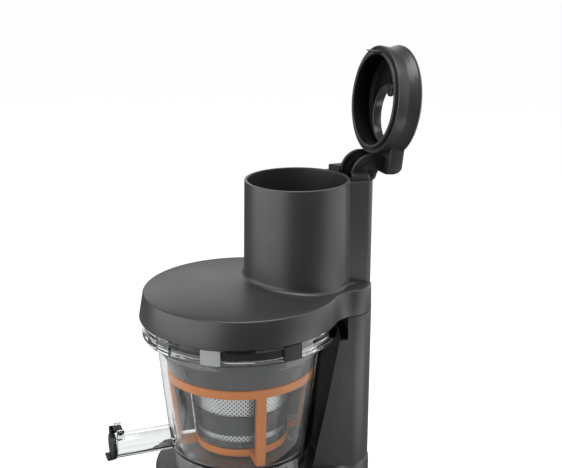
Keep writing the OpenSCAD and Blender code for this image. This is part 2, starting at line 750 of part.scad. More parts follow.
module wiper_blades() color("#efe9dc") for (i = [0:bar_count - 1]) rotate(first_bar + 360 / bar_count * i)
    rotate([90, 0, 0]) linear_extrude(1.6, center = true) polygon([
        [strainer_r(strainer_z + 4) + 1, strainer_z + 4], [bar_r(strainer_z + 4) - bar_t, strainer_z + 4],
        [bar_r(ring_z - 3) - bar_t, ring_z - 3], [strainer_r(ring_z - 3) + 1, ring_z - 3]
    ]);

// ---- Auger ----

// Section of the auger: a round core with n flights, each t wide at its tip
function flights(n, r, core, t) =
    let (w = t / r * 90 / PI, s = 360 / n, b = 2.2 * w)
    [for (i = [0:n - 1]) each concat(
        [for (a = [-w, 0, w]) r * [cos(s * i + a), sin(s * i + a)]],
        arc([0, 0], core, s * i + b, s * (i + 1) - b, round(30 / n))
    )];

module auger() color("#4a4c4f") difference() {
    union() {
        translate([0, 0, auger_z]) linear_extrude(auger_mid - auger_z, twist = -240, slices = 26,
            segments = 1, scale = (mesh_top_r - 3.4) / (mesh_foot_r - 3.4))
            polygon(flights(3, mesh_foot_r - 3.4, auger_core_r, 6));
        translate([0, 0, auger_mid - eps]) linear_extrude(auger_neck_z - auger_mid, twist = -200,
            slices = 22, segments = 1, scale = 0.8)
            polygon(flights(1, mesh_top_r - 3.4, 15, 8));
        translate([0, 0, auger_neck_z - 1]) cylinder(r1 = 12, r2 = 8, h = boss_z - auger_neck_z - 1);
    }
    translate([0, 0, auger_z - 1]) cylinder(r = 10, h = socket_h + 1);
    translate([0, 0, boss_z - 20]) cylinder(r = auger_pin_r, h = far);
}

module auger_socket() color("silver") difference() {
    union() {
        translate([0, 0, bowl_gear_z]) gear(auger_n, bowl_m, bowl_gear_h, gear_way);
        translate([0, 0, bowl_gear_z]) cylinder(r = 10, h = auger_z + socket_h - bowl_gear_z);
    }
    translate([0, 0, bowl_gear_z - 1]) cylinder(r = hex_af / sqrt(3) + 0.15, h = floor_top + hex_h + 1.5 - bowl_gear_z, $fn = 6);
}

module auger_pin() color("silver") translate([0, 0, boss_z - 20])
    cylinder(r = auger_pin_r, h = rim_z + dome_in - boss_z + 20 - 3);

// ---- Juice cap and pulp flap ----

module juice_cap() color("#3a3b3d") difference() {
    union() {
        translate([0, 0, spout_z]) rod_y(spout_r + spout_wall + 1, -spout_y - cap_t, -spout_y - gap);
        translate([-5 + gap, -spout_y - cap_t, spout_z + spout_r])
            cube([10 - 2 * gap, cap_t - gap, cap_hinge_z + 3 - spout_z - spout_r]);
        translate([-5 + gap, -spout_y - cap_t, cap_hinge_z]) cube([10 - 2 * gap, cap_t + 4, 3]);
        translate([0, cap_hinge_y, cap_hinge_z]) rod_x(3, -5 + gap, 5 - gap);
        // Thumb lip
        translate([-6, -spout_y - cap_t - 4, spout_z - spout_r - spout_wall]) cube([12, 5, 2.4]);
    }
    translate([0, cap_hinge_y, cap_hinge_z]) rod_x(trim_pin_r + run, -20, 20);
}

module cap_seal() color("#efe9dc") translate([0, 0, spout_z])
    rod_y(spout_r - 1, -spout_y - gap, -spout_y + 1.5);

module pulp_flap() color("#3a3b3d") difference() {
    union() {
        translate([-pulp_x - gap - 2.5, -duct_w / 2, duct_z]) cube([2.5, duct_w, flap_hinge_z + 1 - duct_z]);
        translate([-pulp_x - gap - 2.5, -5 + gap, flap_hinge_z - 3]) cube([6.5 + gap, 10 - 2 * gap, 6]);
        translate([flap_hinge_x, 0, flap_hinge_z]) rod_y(3, -5 + gap, 5 - gap);
    }
    translate([flap_hinge_x, 0, flap_hinge_z]) rod_y(trim_pin_r + run, -20, 20);
}

// ---- Lid ----

// Tapering body of the lid, drafted towards its back plane
module lid_body() {
    translate([0, tower_back, seat_z]) linear_extrude(lid_h, slices = 1, segments = 1,
        scale = [lid_top_r / lid_r, (lid_top_r + tower_back) / (lid_r + tower_back)])
        translate([0, -tower_back]) polygon(outline(lid_r, tower_hw));
}

// Flat dome of radius r and height h, as a turned profile
module dome(r, z, h) {
    ball = (r * r + h * h) / (2 * h);
    rotate_extrude() polygon(concat(
        [[0, z - 1], [r, z - 1]],
        [for (i = [0:9]) let (x = r * (1 - i / 9)) [x, z + h - ball + sqrt(ball * ball - x * x)]]
    ));
}

module bowl_lid() color("#55575a") difference() {
    union() {
        difference() {
            union() {
                lid_body();
                dome(lid_top_r - 0.5, rim_z, dome_h);
                translate([0, chute_y, rim_z - 1])
                    cylinder(r1 = chute_base_r, r2 = chute_r + lid_wall, h = chute_h + 1);
                translate([0, 0, rim_z - 1]) linear_extrude(chute_h + 1) polygon(block_plan(0));
            }
            // Room for the bowl's neck, and the hollow under the dome
            translate([0, 0, seat_z - 1]) cylinder(r = neck_r + 0.5, h = lid_h - lid_wall + 1);
            dome(ramp_r, rim_z - lid_wall, dome_in);
            // Feed chute, open to the bowl, with a ramp over its rear part
            translate([0, chute_y, ramp_hi]) cylinder(r = chute_r, h = far);
            intersection() {
                translate([0, chute_y, seat_z]) cylinder(r = chute_r, h = ramp_hi + 10 - seat_z);
                union() {
                    translate([0, 0, seat_z]) cylinder(r = ramp_r, h = far);
                    translate([0, ramp_r - 1, ramp_lo])
                        rotate([atan2(ramp_hi - ramp_lo, chute_y + chute_r - ramp_r + 1), 0, 0])
                            translate([-far / 2, -20, 0]) cube([far, far, far]);
                }
            }
            // Pocket of the hinge block, with slots for the two arms of the flip lid
            difference() {
                translate([0, 0, pocket_z]) linear_extrude(far) polygon(block_plan(lid_wall));
                translate([0, chute_y, 0]) cylinder(r = pocket_r, h = far * 2);
            }
            cheek_slots(hinge_y - 12);
            // Hollow underside over the tower
            difference() {
                translate([0, 0, seat_z - 1]) linear_extrude(lid_h - lid_wall + 1)
                    polygon(outline(lid_r, tower_hw, lid_wall + 1.4));
                translate([0, 0, seat_z - 2]) cylinder(r = neck_r + 3, h = far);
                translate([-far, -far, 0]) cube([2 * far, far + 60, 2 * far]);
            }
        }
        // Boss of the auger's bush
        translate([0, 0, boss_z]) cylinder(r = boss_r, h = rim_z + dome_in - boss_z);
        hinge_lug();
    }
    translate([0, 0, boss_z - 1]) cylinder(r = bush_r, h = rim_z + dome_in - boss_z - 1);
    at_hinge() rod_x(hinge_pin_r, -lug_hw - 1, lug_hw + 1);
}

// Plan of the hinge block, moved inwards by d
function block_plan(d) =
    let (c = 6.5 - d, cx = block_hw - 6.5, cy = tower_back - 6.5)
    concat(
        [[-(block_hw - d), chute_y + 20], [block_hw - d, chute_y + 20]],
        arc([cx, cy], c, 0, 90, 6),
        arc([-cx, cy], c, 90, 180, 6)
    );

// Fixed lug that carries the hinge pin, on the back wall of the block
module hinge_lug() {
    at_hinge() rod_x(lug_r, -lug_hw, lug_hw);
    translate([-lug_hw, tower_back - lid_wall, hinge_z - lug_r])
        cube([2 * lug_hw, hinge_out + lid_wall, lug_r]);
}

// Room for the two arms of the flip lid, from y0 through the back wall of the block
module cheek_slots(y0) {
    for (s = [-1, 1]) translate([s * cheek_x - cheek_t / 2 - gap, y0, hinge_z - cheek_r - 1])
        cube([cheek_t + 2 * gap, far, far]);
}

// Black inserts that close the pocket of the block on both sides of the arms
module hinge_inserts() color("#1c1d1f") difference() {
    translate([0, 0, mouth_z - 3]) linear_extrude(3 + insert_rise) polygon(block_plan(lid_wall));
    translate([0, chute_y, 0]) cylinder(r = chute_r + lid_wall + 1, h = far * 2);
    translate([-cheek_x - cheek_t / 2 - gap, 0, 0]) cube([2 * cheek_x + cheek_t + 2 * gap, far, 2 * far]);
}

module lid_gasket() color("#efe9dc") translate([0, 0, seat_z + neck_h])
    tube(neck_r + 0.5, neck_r - rim_w, gasket_h);

module auger_bush() color("#c9a24a") translate([0, 0, boss_z])
    tube(bush_r, auger_pin_r + run, rim_z + dome_in - boss_z - 2);

module lid_underplate() color("#2b2c2e") difference() {
    translate([0, 0, seat_z]) linear_extrude(2) polygon(outline(lid_r, tower_hw, lid_wall + 1.4));
    translate([0, 0, seat_z - 1]) cylinder(r = neck_r + 3, h = 20);
    translate([-far, -far, 0]) cube([2 * far, far + 60, far * 2]);
}

module lid_magnet() color("silver") translate([-6, tower_back - 12, seat_z + 2]) cube([12, 6, 4]);

module hinge_pin() color("silver") at_hinge() rod_x(hinge_pin_r, -cheek_x - cheek_t / 2, cheek_x + cheek_t / 2);

// ---- Flip lid, drawn closed and turned open about its pin ----

module flip_closed() difference() {
    union() {
        difference() {
            union() {
                // Spigot, shadow groove, waisted band and roof
                translate([0, chute_y, 0]) rotate_extrude() polygon([
                    [spigot_r - 2.8, mouth_z - 1.6], [spigot_r, mouth_z - 1.6], [spigot_r, mouth_z + 1.8],
                    [flip_r - 2, mouth_z + 1.8], [flip_r - 2, mouth_z + gap], [flip_r, mouth_z + gap],
                    [flip_r - 0.8, mouth_z + band_h - 10.5], [flip_r, mouth_z + band_h - 6.2],
                    [flip_r + 1.5, mouth_z + band_h - 3.4], [flip_r + 1.5, mouth_z + band_h - 1.8],
                    [flip_r + 0.3, mouth_z + band_h], [0, mouth_z + band_h], [0, mouth_z + band_h - 3],
                    [flip_r - 4.6, mouth_z + band_h - 3], [spigot_r - 2.8, mouth_z + 5]
                ]);
                // Short tube round the hole, set towards the hinge
                translate([0, hole_y, mouth_z + band_h - 8]) cylinder(r = hole_r + 2, h = 6);
            }
            translate([0, hole_y, mouth_z]) cylinder(r = hole_r, h = far);
        }
        // Hollow arm block behind the band, and the two arms with their roots under its roof
        difference() {
            arm_block(0);
            arm_block(lid_wall);
        }
        for (s = [-1, 1]) translate([s * cheek_x - cheek_t / 2, 0, 0]) cheek(cheek_t);
        // Snap tongue that dips into the front of the mouth
        translate([-7, chute_y - spigot_r + 0.4, mouth_z - 6.8]) cube([14, 1.6, 8]);
        // Key with its eye at the edge of the hole
        translate([-5, hole_y - hole_r - 2, mouth_z + band_h - 8]) cube([10, 4, 6]);
        translate([0, hole_y - hole_r + 4.5, mouth_z + band_h - 8]) tube(4.2, 2, 3);
    }
    at_hinge() rod_x(hinge_pin_r + run, -20, 20);
}

// Body of the arm block, moved inwards by d and then open below
module arm_block(d) {
    top = mouth_z + band_h - d;
    back = tower_back - d;
    heel = heel_r - d;
    difference() {
        intersection() {
            translate([0, 0, arm_z - d]) linear_extrude(far) polygon(block_plan(d));
            translate([-far / 2, 0, 0]) rotate([90, 0, 90]) linear_extrude(far) polygon(concat(
                [[chute_y, arm_z - d], [back, arm_z - d]], arc([back - heel, top - heel], heel, 0, 90, 8),
                [[chute_y, top]]
            ));
        }
        translate([0, chute_y, 0]) cylinder(r = flip_r - 3 + d, h = far * 2);
    }
}

// One arm: a sector round the hinge axis and the neck up to the roof of the arm block
module cheek(t) {
    root = mouth_z + band_h - 2 - hinge_z;
    at_hinge() rotate([90, 0, 90]) linear_extrude(t) polygon(concat(
        arc([0, 0], cheek_r, 181.5, 273, 18), arc([0, 0], lug_r, 280, 450, 12),
        [[-hinge_out - lid_wall, heel_r - 3], [-hinge_out - heel_r / 2, root], [2 - cheek_r, root]]
    ));
}

module flip_lid() color("#55575a") at_hinge() rotate([-open_angle, 0, 0]) translate([0, -hinge_y, -hinge_z])
    flip_closed();

base_housing();
tower_liner();
base_plate();
foot_ring();
base_screws();
drive_collar();
shaft_seal();
output_bearings();
gearbox_case();
gearbox_cover();
gear_pin();
motor_mounts();
motor_can();
motor_caps();
stator_core();
stator_windings();
rotor_bearings();
circuit_board();
capacitor();
lid_sensor();
switch_body();
power_inlet();
rotor_shaft();
rotor_core();
motor_pinion();
cooling_fan();
step_gear();
output_gear();
drive_shaft();
control_knob();
knob_marker();
juicing_bowl();
bowl_seal();
gear_stud();
strainer_frame();
strainer_mesh();
cap_pin();
flap_pin();
wheel_gear();
wiper_frame();
wiper_blades();
auger();
auger_socket();
auger_pin();
juice_cap();
cap_seal();
pulp_flap();
bowl_lid();
lid_gasket();
auger_bush();
lid_underplate();
lid_magnet();
hinge_inserts();
hinge_pin();
flip_lid();
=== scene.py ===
"""Slow juicer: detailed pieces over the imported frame.

Sizes are in millimetres and are turned to metres where a mesh is made.
"""
import math

import bmesh
import bpy
from mathutils import Matrix, Vector


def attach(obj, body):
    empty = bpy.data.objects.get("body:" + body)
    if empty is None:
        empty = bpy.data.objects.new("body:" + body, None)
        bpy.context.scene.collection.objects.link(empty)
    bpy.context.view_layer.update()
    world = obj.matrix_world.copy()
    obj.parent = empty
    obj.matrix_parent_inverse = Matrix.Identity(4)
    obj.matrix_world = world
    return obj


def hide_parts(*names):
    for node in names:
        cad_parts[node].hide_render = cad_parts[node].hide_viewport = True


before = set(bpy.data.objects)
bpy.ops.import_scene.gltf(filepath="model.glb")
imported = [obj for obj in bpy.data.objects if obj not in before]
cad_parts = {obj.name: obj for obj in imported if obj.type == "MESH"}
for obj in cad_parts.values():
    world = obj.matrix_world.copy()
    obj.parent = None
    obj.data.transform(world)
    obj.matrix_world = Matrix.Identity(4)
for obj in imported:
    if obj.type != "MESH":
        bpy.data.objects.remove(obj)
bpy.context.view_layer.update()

MM = 0.001
# Vertices nearer than this are merged, in mm, and an edge over this angle stays crisp
MERGE, SHARP = 0.002, math.radians(32)

# ---- Main sizes in mm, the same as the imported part's ----

# Heights of the base's deck, the lid's lower edge, its rim and the chute's mouth
DECK, SEAT, RIM, MOUTH = 185.0, 323.0, 345.0, 434.6
# Clearance between pieces that come apart
GAP = 0.4
# The lid's disc: radius at its lower edge and at its rim, rise of its dome, and wall
LID_R, LID_TOP_R, DOME, LID_WALL = 85.3, 81.4, 7.0, 2.4
# The tower: half its width, its back, its rear corners, and the hollow blend between disc and tower
TOWER_HW, BACK, CORNER, BLEND = 44.0, 111.0, 24.0, 25.0
# The base: radius at its foot and at the deck, height of the foot ring, and wall
BASE_R, BASE_TOP_R, FOOT, BASE_WALL = 88.0, 76.0, 4.0, 3.0
BASE_HW = TOWER_HW * BASE_R / BASE_TOP_R
# The feed chute: its axis, bore and wall
CHUTE_Y, CHUTE_R, CHUTE_WALL = 51.7, 42.0, 2.4
# The hinge block behind the chute: half its width, and its corners
BLOCK_HW, BLOCK_CORNER = 27.0, 6.5
# The flip lid's pin, the boss round it, and how far the flip lid stands open
HINGE = Vector((0.0, 113.9, 435.4))
BOSS_R, OPEN_ANGLE = 4.2, 96.5
# The flip lid's arms: the middle of each, half its width, and its reach round the pin
ARM_X, ARM_HW, ARM_R = 11.5, 1.7, 17.9
# The flip lid: its top, the spigot that drops into the chute, its band and its hole
FLIP_TOP = MOUTH + 21.2
SPIGOT_R, FLIP_R, HOLE_R = CHUTE_R - 1, CHUTE_R + 3.3, 24.5
HOLE_Y = CHUTE_Y + SPIGOT_R - HOLE_R - 4.3
# The bowl: its outer radius under the band and at the floor, and its wall
BOWL_TOP_R, BOWL_FLOOR_R, BOWL_WALL = 71.0, 62.0, 3.2
BOWL_FLOOR, FLOOR_TOP = DECK + 18.0, DECK + 21.0
# The band round the bowl's mouth, and the neck that stands up out of it into the lid
BAND_R, NECK_R, NECK_WALL = BOWL_TOP_R + 12.0, BOWL_TOP_R + 7.6, 2.6
BAND_LOW = SEAT - 15.0
WALL_TOP, THROAT_R = BAND_LOW - 11.0, NECK_R - NECK_WALL
# The notch in the tower that holds the bowl, and the cone below it
NOTCH_R, NOTCH_Z = BAND_R + 9.5, BAND_LOW - 5.5
CONE_TOP_R, CONE_SLOPE, LINER_WALL = BAND_R + 3.0, 0.169, 1.5
# The juice spout: its height, bore, wall and end, and the pin of its cap
SPOUT_Z, SPOUT_R, SPOUT_WALL, SPOUT_Y = FLOOR_TOP + 10.5, 8.0, 2.4, 112.0
CAP_PIN_Y, CAP_PIN_Z = 4.0 - SPOUT_Y, SPOUT_Z + 14.0
# The pulp duct: its end, half its width, its underside and wall, and the pin of its flap
DUCT_END, DUCT_HW, DUCT_LOW, DUCT_WALL = -106.0, 11.0, DECK + 2.0, 2.0
FLAP_PIN_X, FLAP_PIN_Z = DUCT_END + 4.0, DECK + 23.0
# The knuckles round those pins, and the ears that hold them
KNUCKLE_R, KNUCKLE_HW, EAR_W, EAR_PLACES = 3.0, 4.6, 2.5, (-8.0, 5.5)
# The knob
KNOB_Z, KNOB_R, KNOB_FACE = 70.0, 18.0, BASE_R + 17.0
# The strainer: its foot and the top of its sieve, their radii, its solid ring and the collar above
STRAINER_FOOT, SIEVE_TOP = DECK + 30.0, DECK + 80.0
FOOT_R, SIEVE_R = 40.5, 44.5
SOLID_LOW, SOLID_HIGH, COLLAR = DECK + 42.0, DECK + 60.0, DECK + 94.3
# The wiper: its ring, the gear under it, and its bars
RING_LOW, RING_H, RING_R = DECK + 85.9, 8.0, 63.0
GEAR_LOW, GEAR_R, GEAR_TEETH = DECK + 22.5, 41.0, 46
BAR_COUNT, BAR_HALF, FIRST_BAR = 4, 4.25, -2


# ---- Outlines ----

def arc(cx, cy, r, a0, a1, n, hollow=False):
    """Points of an arc, each with the direction that points out of the outline there."""
    k = -1 if hollow else 1
    angles = [math.radians(a0 + (a1 - a0) * i / n) for i in range(n + 1)]
    return [(cx + r * math.cos(a), cy + r * math.sin(a), k * math.cos(a), k * math.sin(a)) for a in angles]


def circle(n, cx=0.0, cy=0.0, r=0.0):
    """Closed ring of such points; on a ring of radius 0 the offsets of a profile are its radii."""
    return arc(cx, cy, r, 0, 360, n)[:-1]


def sector(u, v, r, a0, a1, n):
    """Plain points of an arc."""
    return [p[:2] for p in arc(u, v, r, a0, a1, n)]


def rear_corners(hw, back, r, n):
    """The two rounded corners of a flat back."""
    return arc(hw - r, back - r, r, 0, 90, n) + arc(r - hw, back - r, r, 90, 180, n)


def disc_and_tower(r, hw):
    """Outline of a disc with hollow blends into the tower behind it."""
    by = math.sqrt((r + BLEND) ** 2 - (hw + BLEND) ** 2)
    ta = math.degrees(math.atan2(by, hw + BLEND))
    return (arc(0, 0, r, 180 - ta, 360 + ta, 150)
            + arc(hw + BLEND, by, BLEND, 180 + ta, 180, 14, True)[1:]
            + rear_corners(hw, BACK, CORNER, 18)
            + arc(-hw - BLEND, by, BLEND, 0, -ta, 14, True)[:-1])


def drafted(r, top_r, hw, low, high):
    """That outline at any height, drawn in evenly towards the middle of its flat back."""
    sx, sy = top_r / r, (top_r + BACK) / (r + BACK)

    def outline(z):
        u = min(1.0, max(0.0, (z - low) / (high - low)))
        kx, ky = 1 + (sx - 1) * u, 1 + (sy - 1) * u
        return [(x * kx, BACK + (y - BACK) * ky, nx, ny) for x, y, nx, ny in disc_and_tower(r, hw)]

    return outline


def rounded(corners, steps=4):
    """Profile points (offset, height) from corners (offset, height, radius), each turned into an arc."""
    out = []
    for i, (x, z, r) in enumerate(corners):
        if not r:
            out.append((x, z))
            continue
        p = Vector((x, z))
        a, b = (Vector(corners[(i + k) % len(corners)][:2]) - p for k in (-1, 1))
        half = a.angle(b) / 2
        # The arc takes less than half of the shorter side
        t = min(r / math.tan(half), a.length * 0.49, b.length * 0.49)
        r = t * math.tan(half)
        mid = p + (a.normalized() + b.normalized()).normalized() * (r / math.sin(half))
        start, end = p + a.normalized() * t - mid, p + b.normalized() * t - mid
        turn = start.angle_signed(end)
        for k in range(steps + 1):
            q = Vector(start)
            q.rotate(Matrix.Rotation(-turn * k / steps, 2))
            out.append(tuple(mid + q))
    return out


# ---- Meshes ----

def skin(bm, low, high):
    """Band of faces between two rings of vertices."""
    for i in range(len(low)):
        j = (i + 1) % len(low)
        bm.faces.new((low[i], low[j], high[j], high[i]))


def swept(bm, outline, profile, loop=False, caps=(False, False)):
    """Carries a profile of (offset, height) round an outline, which may change with height."""
    rows = []
    for d, z in profile:
        pts = outline(z) if callable(outline) else outline
        rows.append([bm.verts.new((x + nx * d, y + ny * d, z)) for x, y, nx, ny in pts])
    next_rows = rows[1:] + (rows[:1] if loop else [])
    for low, high in zip(rows, next_rows):
        skin(bm, low, high)
    for row, wanted in ((rows[0], caps[0]), (rows[-1], caps[1])):
        if wanted:
            bm.faces.new(row)
    return rows


def fill(bm, *loops):
    """Closes the flat area between loops of vertices."""
    edges = []
    for row in loops:
        for i, v in enumerate(row):
            w = row[(i + 1) % len(row)]
            edges.append(bm.edges.get((v, w)) or bm.edges.new((v, w)))
    bmesh.ops.triangle_fill(bm, use_beauty=True, use_dissolve=False, edges=edges)


def soften(bm, edges, radius, steps):
    """Rounds edges and returns what the rounding made."""
    return bmesh.ops.bevel(bm, geom=edges, offset=radius, offset_type="OFFSET", segments=steps,
                           profile=0.5, affect="EDGES", clamp_overlap=True)


def box_shape(bm, x0, x1, y0, y1, z0, z1, radius=0.0, steps=3):
    """Block between two corners, with rounded edges where a radius is given."""
    verts = bmesh.ops.create_cube(bm, size=1.0)["verts"]
    for v in verts:
        v.co = Vector(((x0 + x1) / 2 + v.co.x * (x1 - x0), (y0 + y1) / 2 + v.co.y * (y1 - y0),
                       (z0 + z1) / 2 + v.co.z * (z1 - z0)))
    if radius:
        edges = list({e for v in verts for e in v.link_edges})
        verts = soften(bm, edges, radius, steps)["verts"]
    return verts


def side_view(u, v, w):
    """Point of a plate that is drawn in Y and Z and deep along X."""
    return (w, u, v)


def front_view(u, v, w):
    """Point of a plate that is drawn in X and Z and deep along Y."""
    return (u, w, v)


def top_view(u, v, w):
    """Point of a plate that is drawn in X and Y and deep along Z."""
    return (u, v, w)


def plate(bm, view, points, lo, hi, radius=0.0, steps=3):
    """Plate with a given outline in one view, between two depths, its two rims rounded."""
    loops = [[bm.verts.new(view(u, v, w)) for u, v in points] for w in (lo, hi)]
    n = len(points)
    ends = [bm.faces.new(loops[0]), bm.faces.new(loops[1][::-1])]
    for i in range(n):
        j = (i + 1) % n
        bm.faces.new((loops[0][i], loops[1][i], loops[1][j], loops[0][j]))
    if radius:
        soften(bm, [e for f in ends for e in f.edges], radius, steps)


def turned(name, profile, n=160):
    """Piece turned round the bowl's axis from a closed profile."""
    bm = bmesh.new()
    swept(bm, circle(n), profile, loop=True)
    return to_object(name, bm)


def moved(bm, verts, matrix):
    """Moves some of a mesh's vertices."""
    bmesh.ops.transform(bm, matrix=matrix, verts=list(verts))


def laid_forward(bm, verts, z):
    """Lays what was made along Z down along -Y, at height z."""
    moved(bm, verts, Matrix.Translation((0, 0, z)) @ Matrix.Rotation(math.radians(90), 4, "X"))


def turned_forward(bm, n, profile, z, **how):
    """Shape turned round a level axis at height z, from a profile of (radius, distance forward)."""
    rows = swept(bm, circle(n), profile, **how)
    laid_forward(bm, [v for row in rows for v in row], z)


def mark_edges(bm):
    """Smooth faces, with each edge over the sharp angle kept crisp."""
    for f in bm.faces:
        f.smooth = True
    for e in bm.edges:
        e.smooth = not (len(e.link_faces) == 2 and e.calc_face_angle(0) > SHARP)


def to_object(name, bm):
    """Mesh object in metres from a mesh in millimetres."""
    bmesh.ops.remove_doubles(bm, verts=bm.verts, dist=MERGE)
    bmesh.ops.recalc_face_normals(bm, faces=bm.faces)
    for v in bm.verts:
        v.co *= MM
    mark_edges(bm)
    mesh = bpy.data.meshes.new(name)
    bm.to_mesh(mesh)
    bm.free()
    obj = bpy.data.objects.new(name, mesh)
    bpy.context.scene.collection.objects.link(obj)
    return obj


def cut(obj, cutters, operation="DIFFERENCE"):
    """Cuts shapes out of a piece, or joins them to it, and marks the new edges."""
    for cutter in cutters:
        m = obj.modifiers.new("cut", "BOOLEAN")
        m.operation, m.object, m.solver = operation, cutter, "EXACT"
    bpy.context.view_layer.update()
    result = bpy.data.meshes.new_from_object(obj.evaluated_get(bpy.context.evaluated_depsgraph_get()))
    obj.modifiers.clear()
    obj.data = result
    for cutter in cutters:
        bpy.data.objects.remove(cutter)
    bm = bmesh.new()
    bm.from_mesh(result)
    bmesh.ops.remove_doubles(bm, verts=bm.verts, dist=MERGE * MM)
    mark_edges(bm)
    bm.to_mesh(result)
    bm.free()
    return obj


def piece(obj, body, finish, slot, *replaced):
    """Gives a piece its finish, the body that it rides on and the nodes that it stands for. Its slot is not
    used.
    """
    obj.data.materials.clear()
    obj.data.materials.append(finish)
    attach(obj, body)
    if replaced:
        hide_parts(*replaced)


# ---- Materials ----

def linear(hex_colour):
    """sRGB hex to the linear colour that the shaders take."""
    parts = [int(hex_colour[i:i + 2], 16) / 255 for i in (1, 3, 5)]
    return [c / 12.92 if c <= 0.04045 else ((c + 0.055) / 1.055) ** 2.4 for c in parts] + [1.0]


def material(name):
    """New material with its node tree and its shader."""
    m = bpy.data.materials.new(name)
    m.use_nodes = True
    return m, m.node_tree, m.node_tree.nodes["Principled BSDF"]


def add(tree, kind, inputs=None, **settings):
    """Adds a node with its settings; each input is the socket to link to it, or a plain value."""
    n = tree.nodes.new(kind)
    for key, value in settings.items():
        setattr(n, key, value)
    for key, value in (inputs or {}).items():
        if isinstance(value, bpy.types.NodeSocket):
            tree.links.new(value, n.inputs[key])
        else:
            n.inputs[key].default_value = value
    return n


def two_tones(tree, shader, amount, colour, shade):
    """Colours a surface with two close tones."""
    tone = add(tree, "ShaderNodeMix", {0: amount, 6: linear(colour), 7: linear(shade)}, data_type="RGBA")
    tree.links.new(tone.outputs[2], shader.inputs["Base Color"])


def relief(tree, shader, height, strength, depth_mm):
    """Presses a pattern into a surface."""
    bump = add(tree, "ShaderNodeBump", {"Height": height, "Strength": strength, "Distance": depth_mm * MM})
    tree.links.new(bump.outputs["Normal"], shader.inputs["Normal"])


def moulded(name, colour, shade, rough, grain_mm=0.5, depth_mm=0.02, metallic=0.0, coat=0.0, specular=0.5):
    """Moulded or painted surface: two close tones in soft blotches, a fine grain and uneven gloss."""
    m, tree, shader = material(name)
    place = add(tree, "ShaderNodeTexCoord").outputs["Object"]
    blotch_mm = 38
    blotch = add(tree, "ShaderNodeTexNoise", {
        "Vector": place, "Scale": 1.0 / (blotch_mm * MM), "Detail": 2.0, "Roughness": 0.6}).outputs["Fac"]
    two_tones(tree, shader, blotch, colour, shade)
    gloss = add(tree, "ShaderNodeMapRange", {
        "Value": blotch, "From Min": 0.3, "From Max": 0.7, "To Min": rough - 0.03, "To Max": rough + 0.04})
    tree.links.new(gloss.outputs["Result"], shader.inputs["Roughness"])
    grain = add(tree, "ShaderNodeTexNoise", {
        "Vector": place, "Scale": 1.0 / (grain_mm * MM), "Detail": 3.0, "Roughness": 0.6}).outputs["Fac"]
    relief(tree, shader, grain, 0.25, depth_mm)
    shader.inputs["Metallic"].default_value = metallic
    shader.inputs["IOR"].default_value = 1.5
    shader.inputs["Specular IOR Level"].default_value = specular
    shader.inputs["Coat Weight"].default_value = coat
    shader.inputs["Coat Roughness"].default_value = 0.3
    return m


# Gunmetal lacquer with fine metal flake over moulded ABS: dark and satin, with soft streaks under the lamps
gunmetal = moulded("gunmetal_lacquer", "#434343", "#3e3e3e", rough=0.4, grain_mm=0.35, depth_mm=0.006,
                   metallic=0.5, coat=0.15)
# Unpainted moulded ABS: black and a little duller than the lacquer
black_abs = moulded("black_abs", "#191a1b", "#1d1d1f", rough=0.5)
# The same ABS with painted shade: nearly black, for the deep hollow inside the flip lid, and it hardly shines
painted_shade_black = moulded("black_abs_painted_shade", "#070707", "#0a0a0a", rough=0.6, specular=0.15)
# Moulded smoke-grey copolyester, as smooth as its mould: dark with clear reflections
smoke_grey = moulded("smoke_grey_copolyester", "#343435", "#313132", rough=0.24, grain_mm=2.0, depth_mm=0.001)
# Moulded copolyester dyed through: an even orange with a soft shine
orange = moulded("orange_copolyester", "#da7a0a", "#d07206", rough=0.42, grain_mm=0.6, depth_mm=0.01)
# Moulded polyetherimide with a grey filler: hard and satin
grey_imide = moulded("auger_polyetherimide", "#3f4144", "#38393c", rough=0.4, grain_mm=0.7, depth_mm=0.01)
# Moulded nitrile rubber: dull black with a dusty grain
nitrile = moulded("nitrile_rubber", "#1b1b1c", "#222223", rough=0.75, grain_mm=0.4, depth_mm=0.03)
# Moulded silicone: milky with a soft sheen
silicone = moulded("pale_silicone", "#e6e0d2", "#dfd8c8", rough=0.45, grain_mm=0.8, depth_mm=0.01)
# Smoke-grey silicone of the wiping blades: the same sheen, darker
grey_silicone = moulded("grey_silicone", "#4d4e50", "#48494b", rough=0.4, grain_mm=0.8, depth_mm=0.01)
# Moulded nylon: ivory and waxy
nylon = moulded("ivory_nylon", "#e8e2d0", "#ded6c0", rough=0.42, grain_mm=0.6, depth_mm=0.01)
# Glass-fibre board under lacquer: green and half glossy
board = moulded("lacquered_board", "#2c6b3c", "#255c33", rough=0.35, depth_mm=0.01)
# Moulded thermoplastic of the capacitor's case: pale and half glossy
pale_case = moulded("pale_thermoplastic", "#d8d4c8", "#cfcabb", rough=0.35)
# Sanded copolyester of the front catch: light spreads in it, so it looks like a pale block
frosted = moulded("frosted_copolyester", "#b4b6b7", "#a6a8a9", rough=0.22, grain_mm=0.6, depth_mm=0.01)


def turned_metal(name, colour, shade, rough, line_mm=0.25):
    """Metal with the fine lines that a tool leaves, one above the other along Z."""
    m, tree, shader = material(name)
    place = add(tree, "ShaderNodeTexCoord").outputs["Object"]
    length_mm = 25
    along, across = 1.0 / (length_mm * MM), 1.0 / (line_mm * MM)
    stretched = add(tree, "ShaderNodeMapping", {"Vector": place, "Scale": (along, along, across)})
    lines = add(tree, "ShaderNodeTexNoise", {
        "Vector": stretched.outputs["Vector"], "Scale": 1.0, "Detail": 2.0}).outputs["Fac"]
    two_tones(tree, shader, lines, colour, shade)
    relief(tree, shader, lines, 0.3, 0.01)
    shader.inputs["Metallic"].default_value = 1.0
    shader.inputs["Roughness"].default_value = rough
    return m


# Turned stainless steel: bright, with tight rings
steel = turned_metal("turned_stainless_steel", "#c9cacb", "#b4b6b8", 0.28)
# Die-cast aluminium: duller and coarser
cast = turned_metal("die_cast_aluminium", "#a3a6a9", "#92959a", 0.45, 1.2)
